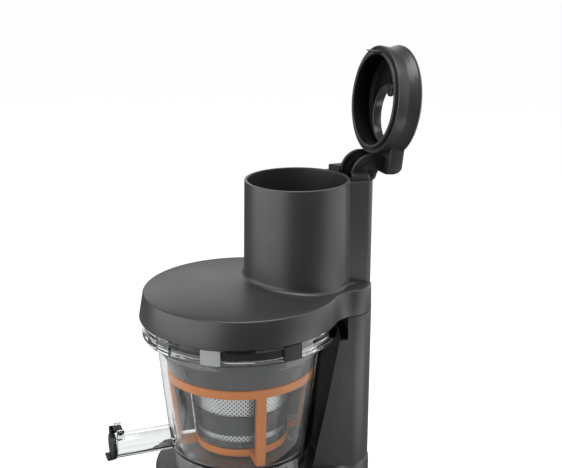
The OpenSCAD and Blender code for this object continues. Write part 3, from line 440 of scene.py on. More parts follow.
# Turned bronze: warm and bright
bronze = turned_metal("turned_bronze", "#c79a55", "#b58644", 0.3)
# Enamelled copper wire: red-brown, its turns drawn as coarse lines
copper = turned_metal("enamelled_copper_wire", "#a5562a", "#8a4420", 0.35, 0.6)


def clear_copolyester():
    """Clear copolyester: nearly colourless, bright at its edges, with faint flow waves from the mould."""
    m, tree, shader = material("clear_copolyester")
    place = add(tree, "ShaderNodeTexCoord").outputs["Object"]
    wave_mm = 30
    waves = add(tree, "ShaderNodeTexNoise", {"Vector": place, "Scale": 1.0 / (wave_mm * MM), "Detail": 1.0})
    relief(tree, shader, waves.outputs["Fac"], 0.06, 0.2)
    shader.inputs["Base Color"].default_value = linear("#eef0f0")
    shader.inputs["Transmission Weight"].default_value = 1.0
    shader.inputs["IOR"].default_value = 1.49
    shader.inputs["Roughness"].default_value = 0.015
    return m


def etched_sieve(radius_mm, hole_mm, pitch_mm):
    """Etched stainless sheet wrapped round Z, with slanting rows of round holes.

    The holes are drawn coarser than real, so that they show.
    """
    m, tree, shader = material("etched_stainless_sieve")
    place = add(tree, "ShaderNodeTexCoord").outputs["Object"]
    axes = add(tree, "ShaderNodeSeparateXYZ", {"Vector": place}).outputs
    # Place round the sheet and place up it, counted in steps of the pattern
    step_mm = pitch_mm * math.sqrt(2)
    steps_round = round(2 * math.pi * radius_mm / step_mm)
    turn = add(tree, "ShaderNodeMath", {0: axes["Y"], 1: axes["X"]}, operation="ARCTAN2").outputs[0]
    across = add(tree, "ShaderNodeMath", {0: turn, 1: steps_round / (2 * math.pi)}, operation="MULTIPLY")
    up = add(tree, "ShaderNodeMath", {0: axes["Z"], 1: 1.0 / (step_mm * MM)}, operation="MULTIPLY")
    # A hole in the middle of each slanting cell
    steps = {0: across.outputs[0], 1: up.outputs[0]}
    rising = add(tree, "ShaderNodeMath", steps, operation="ADD")
    falling = add(tree, "ShaderNodeMath", steps, operation="SUBTRACT")
    cell_x = add(tree, "ShaderNodeMath", {0: rising.outputs[0]}, operation="FRACT")
    cell_y = add(tree, "ShaderNodeMath", {0: falling.outputs[0]}, operation="FRACT")
    cell = add(tree, "ShaderNodeCombineXYZ", {"X": cell_x.outputs[0], "Y": cell_y.outputs[0]})
    away = add(tree, "ShaderNodeVectorMath", {0: cell.outputs[0], 1: (0.5, 0.5, 0.0)}, operation="DISTANCE")
    sheet = add(tree, "ShaderNodeMath", {0: away.outputs["Value"], 1: hole_mm / pitch_mm / 2},
                operation="GREATER_THAN")
    tree.links.new(sheet.outputs[0], shader.inputs["Alpha"])
    shader.inputs["Base Color"].default_value = linear("#d8d9da")
    shader.inputs["Metallic"].default_value = 1.0
    shader.inputs["Roughness"].default_value = 0.42
    return m


clear = clear_copolyester()
sieve = etched_sieve(radius_mm=43, hole_mm=1.8, pitch_mm=2.7)

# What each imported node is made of
NODE_FINISH = {
    "foot_ring": nitrile, "base_plate": black_abs, "base_screws": steel, "drive_collar": black_abs,
    "shaft_seal": silicone, "output_bearings": steel, "gearbox_case": cast, "gearbox_cover": cast,
    "gear_pin": steel, "motor_mounts": nitrile, "motor_can": steel, "motor_caps": cast, "stator_core": steel,
    "stator_windings": copper, "rotor_bearings": steel, "circuit_board": board, "capacitor": pale_case,
    "lid_sensor": black_abs, "switch_body": black_abs, "power_inlet": black_abs, "rotor_shaft": steel,
    "rotor_core": steel, "motor_pinion": bronze, "cooling_fan": black_abs, "step_gear": nylon,
    "output_gear": nylon, "drive_shaft": steel, "control_knob": grey_imide, "knob_marker": orange,
    "bowl_seal": silicone, "gear_stud": steel, "strainer_mesh": sieve, "cap_pin": steel, "flap_pin": steel,
    "wheel_gear": nylon, "wiper_blades": grey_silicone, "auger": grey_imide, "auger_socket": steel,
    "auger_pin": steel, "juice_cap": black_abs, "cap_seal": silicone, "pulp_flap": black_abs,
    "lid_gasket": silicone, "auger_bush": bronze, "lid_underplate": black_abs, "lid_magnet": steel,
    "hinge_inserts": black_abs, "hinge_pin": steel, "tower_liner": black_abs, "base_housing": gunmetal,
    "juicing_bowl": clear, "strainer_frame": smoke_grey, "wiper_frame": orange, "bowl_lid": gunmetal,
    "flip_lid": gunmetal,
}
for node_name, finish in NODE_FINISH.items():
    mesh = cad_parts[node_name].data
    mesh.materials.clear()
    mesh.materials.append(finish)


# ---- Lid of the bowl, with chute and hinge block ----

# Sides of the chute's bore, and the height of the lip at its mouth
BORE_SIDES, MOUTH_LIP = 180, 3


def dome_z(x, y):
    """Height of the lid's top: a flat dome over the disc that runs out level towards the tower."""
    return RIM + DOME * max(0.0, 1 - (x * x + y * y) / LID_TOP_R ** 2)


def stack_outline(z):
    """Outline of the chute with the hinge block behind it, the chute a little wider at its foot."""
    widening, crease = 1.3, 1.6
    r = CHUTE_R + CHUTE_WALL + widening * (MOUTH - z) / (MOUTH - RIM)
    cx = BLOCK_HW + crease
    cy = CHUTE_Y + math.sqrt((r + crease) ** 2 - cx ** 2)
    ta = math.degrees(math.atan2(cy - CHUTE_Y, cx))
    return (arc(0, CHUTE_Y, r, 180 - ta, 360 + ta, 120)
            + arc(cx, cy, crease, 180 + ta, 180, 5, True)[1:]
            + rear_corners(BLOCK_HW, BACK - 0.05, BLOCK_CORNER, 8)
            + arc(-cx, cy, crease, 0, -ta, 5, True)[:-1])


def make_dome(bm, rim_row):
    """Lid's top in rings drawn in towards the middle, open under the chute."""
    rings, reach, level_rings = 64, 0.995, 6
    # The first few rings take up the small step between the rim's edge and the dome
    rim_points = [v.co.copy() for v in rim_row]
    last = rim_row
    for i in range(1, rings + 1):
        s = 1 - i / rings * reach
        row = []
        for p in rim_points:
            x, y = p.x * s, p.y * s
            lift = p.z - dome_z(p.x, p.y)
            row.append(bm.verts.new((x, y, dome_z(x, y) + lift * max(0.0, 1 - i / level_rings))))
        skin(bm, last, row)
        last = row
    bm.faces.new(last)
    cleared = CHUTE_R + CHUTE_WALL + 0.5
    hidden = [f for f in bm.faces
              if all(math.hypot(v.co.x, v.co.y - CHUTE_Y) < cleared and v.co.z > RIM - 4 for v in f.verts)]
    bmesh.ops.delete(bm, geom=hidden, context="FACES")


def make_lid():
    """Skirt, top, underside and the chute's bore."""
    bm = bmesh.new()
    skirt = rounded([(-LID_WALL, SEAT + GAP, 0), (-LID_WALL, SEAT, 0.3), (0, SEAT, 0.6), (0, RIM, 1.6),
                     (-9, RIM + 1.5, 0)])
    rows = swept(bm, drafted(LID_R, LID_TOP_R, TOWER_HW, SEAT, RIM), skirt)
    make_dome(bm, rows[-1])
    # Underside: bottom ring, room for the bowl's neck, and roof
    roof = RIM - LID_WALL
    room = swept(bm, circle(BORE_SIDES), [(NECK_R + 0.5, SEAT + GAP), (NECK_R + 0.5, roof)])
    fill(bm, rows[0], room[0])
    bore = [(x, y) for x, y, _, _ in circle(BORE_SIDES, 0, CHUTE_Y, CHUTE_R)]
    opening = []
    for x, y in bore:
        k = min(1.0, THROAT_R / math.hypot(x, y))
        opening.append(bm.verts.new((x * k, y * k, roof)))
    fill(bm, room[1], opening)
    # Chute's bore, with a ramp behind the bowl's neck
    ramp_low, ramp_high = RIM - 1, RIM + 9
    slope = (ramp_high - ramp_low) / (CHUTE_Y + CHUTE_R - THROAT_R)
    foot = []
    for x, y in bore:
        over_neck = math.hypot(x, y) > THROAT_R
        foot.append(bm.verts.new((x, y, ramp_low + slope * max(0.0, y - THROAT_R) if over_neck else roof)))
    skin(bm, opening, foot)
    ring = swept(bm, circle(BORE_SIDES, 0, CHUTE_Y, CHUTE_R), [(0, RIM + 20), (0, MOUTH - MOUTH_LIP)])
    skin(bm, foot, ring[0])
    # Boss round the auger's bush
    boss_r = 9.5
    swept(bm, circle(48), [(boss_r, roof), (boss_r, RIM - 6)])
    return to_object("lid_shell", bm)


def make_chute():
    """Wall of the chute and the block behind it, its foot flowing out into the lid's top."""
    bm = bmesh.new()
    flow, flow_steps, fade, sunk = 3.8, 8, 14, 0.12
    base = stack_outline(RIM)
    rows = []
    for k in range(flow_steps + 1):
        a = math.radians(90 * k / flow_steps)
        row = []
        for x, y, nx, ny in base:
            # The fillet dies out towards the flat back
            r = flow * min(1.0, max(0.02, (BACK - 3 - y) / fade))
            d = r * (1 - math.sin(a))
            px, py = x + nx * d, y + ny * d
            row.append(bm.verts.new((px, py, dome_z(px, py) - sunk + r * (1 - math.cos(a)))))
        rows.append(row)
    rows.insert(0, [bm.verts.new((v.co.x, v.co.y, RIM - 1.5)) for v in rows[0]])
    for d, z in rounded([(0, RIM + 14, 0), (0, MOUTH, 0.5), (-CHUTE_WALL / 2, MOUTH, 0)]):
        rows.append([bm.verts.new((x + nx * d, y + ny * d, z)) for x, y, nx, ny in stack_outline(z)])
    for low, high in zip(rows, rows[1:]):
        skin(bm, low, high)
    bore = swept(bm, circle(BORE_SIDES, 0, CHUTE_Y, CHUTE_R),
                 rounded([(0, MOUTH - MOUTH_LIP, 0), (0, MOUTH, 0.5), (0.9, MOUTH, 0)]))
    # Pocket of the hinge block
    pocket_r, pocket_hw, depth = CHUTE_R + CHUTE_WALL + GAP, BLOCK_HW - CHUTE_WALL, 34
    ta = math.degrees(math.acos(pocket_hw / pocket_r))
    pocket = (arc(0, CHUTE_Y, pocket_r, 180 - ta, ta, 40, True)
              + rear_corners(pocket_hw, BACK - CHUTE_WALL, BLOCK_CORNER - CHUTE_WALL, 6))
    well = swept(bm, pocket, rounded([(0, MOUTH - depth, 0), (0, MOUTH, 0.4), (0.5, MOUTH, 0)]),
                 caps=(True, False))
    fill(bm, rows[-1], bore[-1], well[-1])
    # Slots in the back wall for the two arms of the flip lid
    slots = bmesh.new()
    slot_hw, slot_foot = ARM_HW + 0.3, HINGE.z - ARM_R - 1
    for x in (-ARM_X, ARM_X):
        box_shape(slots, x - slot_hw, x + slot_hw, HINGE.y - 8, BACK + 4, slot_foot, MOUTH + 4)
    return cut(to_object("chute_and_block", bm), [to_object("slots", slots)])


def make_lug():
    """Fixed lug behind the block that holds the hinge pin."""
    bm = bmesh.new()
    front, foot, hw = BACK - CHUTE_WALL, HINGE.z - BOSS_R, ARM_X - ARM_HW - GAP
    side = ([(front, foot), (HINGE.y, foot)] + sector(HINGE.y, HINGE.z, BOSS_R, -80, 170, 20)
            + [(front, HINGE.z)])
    plate(bm, side_view, side, -hw, hw, 0.4)
    return to_object("hinge_lug", bm)


def make_insert(name, side):
    """Black insert beside an arm, level with its twin, a little above the mouth."""
    bm = bmesh.new()
    wall, corner = CHUTE_WALL + 0.05, 4.1
    inner, outer, back = ARM_X + ARM_HW + GAP, BLOCK_HW - wall, BACK - wall
    front_r = CHUTE_R + CHUTE_WALL + 1.2
    a0, a1 = (math.degrees(math.acos(x / front_r)) for x in (inner, outer))
    outline = (sector(0, CHUTE_Y, front_r, a0, a1, 8)
               + sector(outer - corner, back - corner, corner, 0, 90, 8) + [(inner, back)])
    plate(bm, top_view, [(side * x, y) for x, y in outline[::side]], MOUTH - 3, MOUTH + 4.8, 0.8)
    return to_object(name, bm)


piece(make_lid(), "lid", gunmetal, "housing", "bowl_lid")
piece(make_chute(), "lid", gunmetal, "housing")
piece(make_lug(), "lid", black_abs, "housing")
piece(make_insert("hinge_insert_right", 1), "lid", black_abs, "black_plastic", "hinge_inserts")
piece(make_insert("hinge_insert_left", -1), "lid", black_abs, "black_plastic")


# ---- Flip lid, drawn closed and turned open about its pin ----

SWING = (Matrix.Translation(HINGE) @ Matrix.Rotation(math.radians(-OPEN_ANGLE), 4, "X")
         @ Matrix.Translation(-HINGE))
SWING_M = Matrix.Scale(MM, 4) @ SWING @ Matrix.Scale(1 / MM, 4)


def opened(name, bm, finish):
    """Turns a piece drawn closed to the open position and hangs it on the flip lid."""
    moved(bm, bm.verts, SWING)
    piece(to_object(name, bm), "flip", finish, "housing")


def opened_ring(name, profile, finish, slot, *replaced):
    """The same for a piece turned round the chute's axis, with the round hole cut through it."""
    bm = bmesh.new()
    swept(bm, circle(180, 0, CHUTE_Y), profile, loop=True)
    moved(bm, bm.verts, SWING)
    ring = to_object(name, bm)
    through = bmesh.new()
    # The cut ends inside the tube that lines the hole
    cut_r = HOLE_R + 1.2
    swept(through, circle(120, 0, HOLE_Y), [(cut_r, MOUTH + 8), (cut_r, FLIP_TOP + 5)], caps=(True, True))
    hole = to_object("hole", through)
    hole.data.transform(SWING_M)
    piece(cut(ring, [hole]), "flip", finish, slot, *replaced)


def make_flip_band():
    """Spigot, shadow groove and waisted band, with the parting line under its rolled top edge."""
    line, groove, inside = FLIP_TOP - 3.0, MOUTH + 1.8, SPIGOT_R - 2.8
    spigot = [(inside, MOUTH - 1.6, 0.6), (SPIGOT_R, MOUTH - 1.6, 0.6), (SPIGOT_R, groove, 0),
              (FLIP_R - 2, groove, 0)]
    waist = [(FLIP_R - 2, MOUTH + GAP, 0.5), (FLIP_R, MOUTH + GAP, 0.8), (FLIP_R - 0.9, FLIP_TOP - 11, 9),
             (FLIP_R, FLIP_TOP - 6.4, 5), (FLIP_R + 1.4, line, 0)]
    edge = [(FLIP_R + 0.7, line + 0.1, 0), (FLIP_R + 0.7, line + 0.5, 0), (FLIP_R + 1.5, line + 0.6, 0),
            (FLIP_R + 1.3, FLIP_TOP - 1.3, 0.8), (FLIP_R + 0.2, FLIP_TOP, 0.8), (0.01, FLIP_TOP, 0)]
    cavity = [(0.01, FLIP_TOP - 3, 0), (FLIP_R - 4.6, FLIP_TOP - 3, 2.5), (inside, MOUTH + 5, 0)]
    opened_ring("flip_lid_band", rounded(spigot + waist + edge + cavity, 6), gunmetal, "housing", "flip_lid")


def make_flip_lining():
    """Black inside of the flip lid, a skin on the cavity's wall and roof, in black ABS darkened with painted
    shade.
    """
    roof, low, shoulder = FLIP_TOP - 2.9, MOUTH - 0.6, MOUTH + 5
    outside = [(SPIGOT_R - 2.7, low), (SPIGOT_R - 2.7, shoulder), (FLIP_R - 4.5, roof), (0.01, roof)]
    inside = [(0.01, roof - 0.5), (FLIP_R - 8, roof - 0.5), (FLIP_R - 5.3, roof - 3.2),
              (SPIGOT_R - 3.2, shoulder), (SPIGOT_R - 3.2, low)]
    opened_ring("flip_lid_lining", outside + inside, painted_shade_black, "black_plastic")


def make_hole_tube():
    """Short tube round the hole."""
    bm = bmesh.new()
    low, high, outer = FLIP_TOP - 8, FLIP_TOP + 0.12, HOLE_R + 2
    tube = rounded([(HOLE_R, low, 0.7), (outer, low, 0.7), (outer, high, 0.3), (HOLE_R, high, 0.9)])
    swept(bm, circle(140, 0, HOLE_Y), tube, loop=True)
    opened("flip_hole_tube", bm, smoke_grey)


def make_arm_block():
    """Hollow block behind the band, with upright corners like the block on the lid and a rounded heel."""
    bm = bmesh.new()
    heel, low, front, past = 9.0, MOUTH + 5.4, 84, 5
    corners = rear_corners(BLOCK_HW, BACK, BLOCK_CORNER, 10)
    plan = [(-BLOCK_HW, front, -1, 0), (BLOCK_HW, front, 1, 0)] + corners
    swept(bm, plan, rounded([(0, low, 0.5), (0, FLIP_TOP, 0.7), (-4, FLIP_TOP, 0)]), caps=(True, True))
    block = to_object("flip_arm_block", bm)
    over = bmesh.new()
    rounding = sector(BACK - heel, FLIP_TOP - heel, heel, 0, 90, 12)
    beyond = [(BACK - heel, FLIP_TOP + past), (BACK + past, FLIP_TOP + past), (BACK + past, FLIP_TOP - heel)]
    plate(over, side_view, rounding + beyond, -40, 40)
    ring = bmesh.new()
    ring_r = FLIP_R - 2.2
    swept(ring, circle(120, 0, CHUTE_Y), [(ring_r, MOUTH), (ring_r, FLIP_TOP + past)], caps=(True, True))
    well = bmesh.new()
    well_hw, well_front = BLOCK_HW - CHUTE_WALL, 97.6
    inside = [(x * (1 - CHUTE_WALL / BLOCK_HW), y - 1.8, 0, 0) for x, y, _, _ in corners]
    inside += [(-well_hw, well_front, 0, 0), (well_hw, well_front, 0, 0)]
    swept(well, inside, [(0, MOUTH), (0, FLIP_TOP - 9)], caps=(True, True))
    cut(block, [to_object("over", over), to_object("ring", ring), to_object("well", well)])
    block.data.transform(SWING_M)
    piece(block, "flip", gunmetal, "housing")


def make_arm(name, x):
    """Arm that runs in the block: a thin quarter disc with raised rims round the pin."""
    bm = bmesh.new()
    y, z, x0, x1 = HINGE.y, HINGE.z, x - ARM_HW, x + ARM_HW
    root, web_in = FLIP_TOP - 2.6, 0.9
    web = (sector(y, z, ARM_R - 0.4, 181.5, 273, 24) + sector(y, z, BOSS_R, 280, 450, 14)
           + [(y - 5.3, z + 6), (y - 7.4, root), (y - 16, root)])
    plate(bm, side_view, web, x0 + web_in, x1 - web_in, 0.2, 1)
    rim = sector(y, z, ARM_R, 181.5, 273, 24) + sector(y, z, ARM_R - 1.7, 273, 181.5, 24)
    plate(bm, side_view, rim, x0, x1, 0.4, 2)
    rib = sector(y, z, 11.6, 186, 268, 20) + sector(y, z, 10.4, 268, 186, 20)
    boss = sector(y, z, BOSS_R, 0, 354, 30)
    edge = [(y - ARM_R, z - 0.5), (y - 16.2, z - 0.5), (y - 14.4, root), (y - 16, root)]
    for outline in (rib, boss, edge):
        plate(bm, side_view, outline, x0, x1, 0.3, 2)
    opened(name, bm, black_abs)


def make_tongue_and_key():
    """Snap tongue with its barb that dips into the front of the mouth, and the key with its eye."""
    bm = bmesh.new()
    y, tip, barb, root = CHUTE_Y - SPIGOT_R + GAP, MOUTH - 9.4, MOUTH - 5.4, MOUTH + 1.2
    tongue = [(y, tip), (y + 0.8, tip), (y + 1.6, barb), (y + 1.2, root), (y, root)]
    plate(bm, side_view, tongue, -7, 7, 0.3, 2)
    front, low = HOLE_Y - HOLE_R - 2, FLIP_TOP - 8
    box_shape(bm, -5, 5, front, front + 4, low, low + 6, 0.6)
    bore, outer, high = 2, 4.2, low + 3
    eye = rounded([(bore, low, 0.3), (outer, low, 0.6), (outer, high, 0.6), (bore, high, 0.3)])
    swept(bm, circle(40, 0, front + 6.5), eye, loop=True)
    opened("flip_tongue_and_key", bm, black_abs)


make_flip_band()
make_flip_lining()
make_hole_tube()
make_arm_block()
make_arm("flip_arm_right", ARM_X)
make_arm("flip_arm_left", -ARM_X)
make_tongue_and_key()

# ---- Base and tower ----

def make_base():
    """Base from foot to deck, with the recess of the power inlet and the air slots in its back."""
    bm = bmesh.new()
    shell = rounded([(-BASE_WALL, DECK - 3, 0), (-BASE_WALL, FOOT, 0.4), (0, FOOT, 1.5), (0, DECK, 3),
                     (-12, DECK, 0)])
    swept(bm, drafted(BASE_R, BASE_TOP_R, BASE_HW, FOOT, DECK), shell, caps=(True, True))
    base = to_object("base_shell", bm)
    inlet = bmesh.new()
    inlet_hw, inlet_low, inlet_high = 14, 24, 44
    box_shape(inlet, -inlet_hw, inlet_hw, BACK - 20, BACK + 9, inlet_low, inlet_high, 1.5)
    slots = bmesh.new()
    slot_count, slot_step, slot_low, slot_half, slot_r = 7, 8, 61.75, 20.25, 1.75
    for i in range(slot_count):
        z = slot_low + slot_step * i
        ends = sector(slot_half, z, slot_r, -90, 90, 8) + sector(-slot_half, z, slot_r, 90, 270, 8)
        plate(slots, front_view, ends, BACK - 12, BACK + 12)
    return cut(base, [to_object("inlet", inlet), to_object("slots", slots)])


def make_knob_pad():
    """Flat pad behind the knob with a shallow step round it, bored for the knob's stem."""
    bm = bmesh.new()
    bore, back, face = 4.6, BASE_R - 10, BASE_R + 0.5
    pad = rounded([(bore, back, 0), (KNOB_R + 4, back, 0), (KNOB_R + 4, BASE_R + 1, 1.0),
                   (KNOB_R + 1.5, BASE_R + 1, 0.4), (KNOB_R + 1, face, 0), (bore, face, 0)])
    turned_forward(bm, 96, pad, KNOB_Z, loop=True)
    return to_object("knob_pad", bm)


def make_tower():
    """Tower behind the bowl, hollowed to the bowl's shape, with a seat for the black liner."""
    bm = bmesh.new()
    front, inner_front, top = 40, 20, SEAT - GAP
    plan = (rear_corners(TOWER_HW, BACK, CORNER, 24)
            + [(-TOWER_HW, front, -1, 0), (-TOWER_HW + 2, inner_front, 0, 0),
               (TOWER_HW - 2, inner_front, 0, 0), (TOWER_HW, front, 1, 0)])
    swept(bm, plan, rounded([(0, DECK - 6, 0), (0, top, 0.8), (-8, top, 0)]), caps=(True, True))
    tower = to_object("tower_shell", bm)
    # The bowl's room, and the same room grown by the liner's wall inside the tower's shell
    foot_r = CONE_TOP_R - CONE_SLOPE * (NOTCH_Z - DECK)
    rooms = []
    for name, d in (("room", 0.0), ("liner_seat", LINER_WALL)):
        room = bmesh.new()
        side = [(foot_r + d, DECK - 0.02), (CONE_TOP_R + d, NOTCH_Z - d), (NOTCH_R + d, NOTCH_Z - d),
                (NOTCH_R + d, top + 20)]
        swept(room, circle(240), side, caps=(True, True))
        rooms.append(to_object(name, room))
    seat = bmesh.new()
    shell = BASE_WALL + 0.1
    box_shape(seat, shell - TOWER_HW, TOWER_HW - shell, 5, 180, DECK + 2.1, top - shell)
    cut(rooms[1], [to_object("seat", seat)], "INTERSECT")
    below = bmesh.new()
    box_shape(below, -90, 90, -90, 62, DECK - 20, DECK - 0.01)
    return cut(tower, rooms + [to_object("below", below)])


def make_knob():
    """Knob with grip ribs, and the stem behind it."""
    bm = bmesh.new()
    back = BASE_R + 1.4
    body = rounded([(0.01, back, 0), (KNOB_R, back, 0.6), (KNOB_R, KNOB_FACE, 2.2),
                    (0.01, KNOB_FACE - 0.3, 0)])
    turned_forward(bm, 96, body, KNOB_Z)
    ribs = 12
    for i in range(ribs):
        rib = box_shape(bm, KNOB_R - 1, KNOB_R + 0.8, -1.2, 1.2, back + 1.6, back + 13.6, 0.6, 2)
        moved(bm, rib, Matrix.Rotation(math.radians(360 / ribs * i), 4, "Z"))
        laid_forward(bm, rib, KNOB_Z)
    stem_r, tip_r, tip, step = 4, 3, 61.5, 73
    stem = [(0.01, tip), (tip_r, tip), (tip_r, step), (stem_r, step), (stem_r, back), (0.01, back)]
    turned_forward(bm, 32, stem, KNOB_Z)
    return to_object("knob_body", bm)


def make_marker():
    """Pointer let into the knob's face."""
    bm = bmesh.new()
    half_w, proud, deep = 1.5, 0.3, 1.0
    box_shape(bm, -half_w, half_w, -KNOB_FACE - proud, deep - KNOB_FACE, KNOB_Z + 4, KNOB_Z + 15, 0.4)
    return to_object("knob_pointer", bm)


piece(make_base(), "base", gunmetal, "housing")
piece(make_knob_pad(), "base", gunmetal, "housing")
piece(make_tower(), "base", gunmetal, "housing", "base_housing")
piece(make_knob(), "knob", grey_imide, "auger_grey", "control_knob")
piece(make_marker(), "knob", orange, "orange_plastic", "knob_marker")


# ---- Bowl ----

CATCH_W = 16


def make_bowl_shell():
    """Bowl turned in one profile: foot, wall, channelled band and neck, then down the inside."""
    low, high, foot_in = BOWL_FLOOR_R, BOWL_TOP_R, BOWL_FLOOR_R - 6.5
    foot = [(foot_in, DECK, 0.5), (low - 3.5, DECK, 0.5), (low - 3.5, DECK + 16, 1), (low, DECK + 19, 2)]
    wall = [(high, WALL_TOP, 6), (high + 3, BAND_LOW - 3, 3), (high + 6, BAND_LOW, 1)]
    channel_r = BAND_R - 2.2
    band = [(BAND_R, BAND_LOW, 0.6), (BAND_R, BAND_LOW + 3.2, 0.5), (channel_r, BAND_LOW + 3.6, 0.4),
            (channel_r, SEAT - 3.6, 0.4), (BAND_R, SEAT - 3.2, 0.5), (BAND_R, SEAT - GAP, 0.6)]
    neck = [(NECK_R, SEAT - GAP, 0.3), (NECK_R, RIM - 5, 0.6), (THROAT_R, RIM - 5, 0.6),
            (THROAT_R, BAND_LOW + 2.6, 0.5)]
    inside = [(high - 2.7, BAND_LOW + 2.6, 0.6), (high - BOWL_WALL, WALL_TOP, 4),
              (low - BOWL_WALL, FLOOR_TOP, 1.5)]
    boss_r, seal_r = 9, 12
    centre = [(boss_r, FLOOR_TOP, 0), (boss_r, DECK + 8, 0), (seal_r, DECK + 8, 0.3),
              (seal_r, BOWL_FLOOR, 0.5), (foot_in, BOWL_FLOOR, 0.5)]
    return turned("bowl_shell", rounded(foot + wall + band + neck + inside + centre), 200)


def make_bowl():
    """Clear bowl with its juice spout and pulp duct, both bored through to the inside."""
    bowl = make_bowl_shell()
    spout = bmesh.new()
    outer, root = SPOUT_R + SPOUT_WALL, BOWL_FLOOR_R - 1.5
    tube = rounded([(outer, root, 0), (outer, SPOUT_Y, 0.6), (0.01, SPOUT_Y, 0), (0.01, root, 0)])
    turned_forward(spout, 48, tube, SPOUT_Z, loop=True)
    cap_ears = bmesh.new()
    for x in EAR_PLACES:
        box_shape(cap_ears, x, x + EAR_W, CAP_PIN_Y - KNUCKLE_R, CAP_PIN_Y + KNUCKLE_R,
                  CAP_PIN_Z - 9, CAP_PIN_Z + KNUCKLE_R, 0.6)
    duct = bmesh.new()
    box_shape(duct, DUCT_END, -14, -DUCT_HW, DUCT_HW, DUCT_LOW, BOWL_FLOOR + 1, 1.5)
    flap_ears = bmesh.new()
    for y in EAR_PLACES:
        box_shape(flap_ears, FLAP_PIN_X - KNUCKLE_R, FLAP_PIN_X + KNUCKLE_R, y, y + EAR_W,
                  FLAP_PIN_Z - 6, FLAP_PIN_Z + KNUCKLE_R, 0.6)
    cut(bowl, [to_object("spout", spout), to_object("cap_ears", cap_ears), to_object("duct", duct),
               to_object("flap_ears", flap_ears)], "UNION")
    bore = bmesh.new()
    turned_forward(bore, 48, [(SPOUT_R, BOWL_FLOOR_R - 12), (SPOUT_R, SPOUT_Y + 1)], SPOUT_Z,
                   caps=(True, True))
    way = bmesh.new()
    way_hw = DUCT_HW - DUCT_WALL
    box_shape(way, DUCT_END - 2, -24, -way_hw, way_hw, DUCT_LOW + DUCT_WALL, BOWL_FLOOR - DUCT_WALL, 1)
    drop = bmesh.new()
    drop_x, drop_r = -25, 7
    swept(drop, circle(40, drop_x), [(drop_r, DECK + 5), (drop_r, FLOOR_TOP + 2)], caps=(True, True))
    return cut(bowl, [to_object("bore", bore), to_object("way", way), to_object("drop", drop)])


def curved_strip(name, outer, inner, start, end, sides, low, high, radius, steps=3):
    """Strip that follows the band between two angles."""
    bm = bmesh.new()
    points = sector(0, 0, outer, start, end, sides) + sector(0, 0, inner, end, start, sides)
    plate(bm, top_view, points, low, high, radius, steps)
    return to_object(name, bm)


def make_catch(index, angle):
    """Catch of the lid, standing in the channel of the band."""
    half = math.degrees(CATCH_W / 2 / BAND_R)
    return curved_strip("bayonet_catch_%d" % index, BAND_R + 0.9, BAND_R - 2.6, angle - half, angle + half,
                        10, BAND_LOW + 1, SEAT - 1.4, 0.5)


piece(make_bowl(), "bowl", clear, "clear_bowl", "juicing_bowl")
# Six catches in degrees round the bowl: a sanded one, a dark one beside it, and four clear ones
catches = ((-34, frosted), (12.5, black_abs), (-66, clear), (114, clear), (180, clear), (240, clear))
for index, (angle, finish) in enumerate(catches):
    piece(make_catch(index, angle), "bowl", finish, "clear_bowl")
# Black strip in the channel between the first two catches: painted shade in the clear band
channel_painted_shade_strip = curved_strip("channel_painted_shade_strip", BAND_R - 1.5, BAND_R - 2.1, -28, 6.5, 30,
                             BAND_LOW + 4.6, SEAT - 4.2, 0.2, 1)
piece(channel_painted_shade_strip, "bowl", black_abs, "black_plastic")


# ---- Strainer and wiper ----

def strainer_r(z):
    """Outer radius of the strainer at a height."""
    return FOOT_R + (SIEVE_R - FOOT_R) * (z - STRAINER_FOOT) / (SIEVE_TOP - STRAINER_FOOT)


def make_collar():
    """Funnel above the sieve that hangs on the bowl's ledge."""
    ledge, hem, inner, outer = BAND_LOW + 2.6, SIEVE_TOP - 0.8, BOWL_TOP_R - BOWL_WALL, NECK_R - 3.2
    rim = [(outer, ledge, 0.5), (outer, BAND_LOW + 5, 0.8), (inner - 2.6, BAND_LOW + 5, 3)]
    throat = [(60.1, COLLAR + 2.4, 2), (50, COLLAR + 1.4, 2), (42.9, SIEVE_TOP + 4, 2), (42.9, hem, 0)]
    outside = [(strainer_r(hem), hem, 0.3), (44.5, SIEVE_TOP + 4.5, 2), (49, COLLAR, 2),
               (62.5, COLLAR, 0.6), (inner - 1, BAND_LOW - 6, 3), (inner - 0.2, ledge, 0.5)]
    return turned("strainer_collar", rounded(rim + throat + outside))


def make_basket():
    """Two rings, floor and ribs that hold the sieve."""
    bm = bmesh.new()
    foot, sides = STRAINER_FOOT, 160
    for lo, hi in ((SOLID_LOW, SOLID_HIGH), (foot, foot + 5)):
        ring = rounded([(strainer_r(lo) - 1.6, lo, 0.3), (strainer_r(lo) + 0.2, lo, 0.5),
                        (strainer_r(hi) + 0.2, hi, 0.5), (strainer_r(hi) - 1.6, hi, 0.3)])
        swept(bm, circle(sides), ring, loop=True)
    floor_in, floor_out, floor_top = 16, FOOT_R - 0.2, foot + 2.4
    floor = rounded([(floor_in, foot, 0.4), (floor_out, foot, 0.8), (floor_out, floor_top, 0),
                     (floor_in, floor_top, 0.4)])
    swept(bm, circle(sides), floor, loop=True)
    for i in range(BAR_COUNT):
        # A rib is a block whose upper end is drawn up and out along the sieve
        rib = box_shape(bm, 38.9, 40.7, -1.2, 1.2, foot, foot + 2)
        for v in rib:
            if v.co.z > foot + 1:
                v.co.x += SIEVE_R - FOOT_R
                v.co.z = SIEVE_TOP
        moved(bm, rib, Matrix.Rotation(math.radians(360 / BAR_COUNT * i + FIRST_BAR), 4, "Z"))
    return to_object("strainer_basket", bm)


def make_wiper_ring():
    """Upper ring of the wiper frame."""
    inner, high = RING_R - 5.2, RING_LOW + RING_H
    return turned("wiper_ring", rounded([(inner, RING_LOW, 1.2), (RING_R, RING_LOW, 1.2),
                                         (RING_R, high, 1.2), (inner, high, 1.2)], 5))


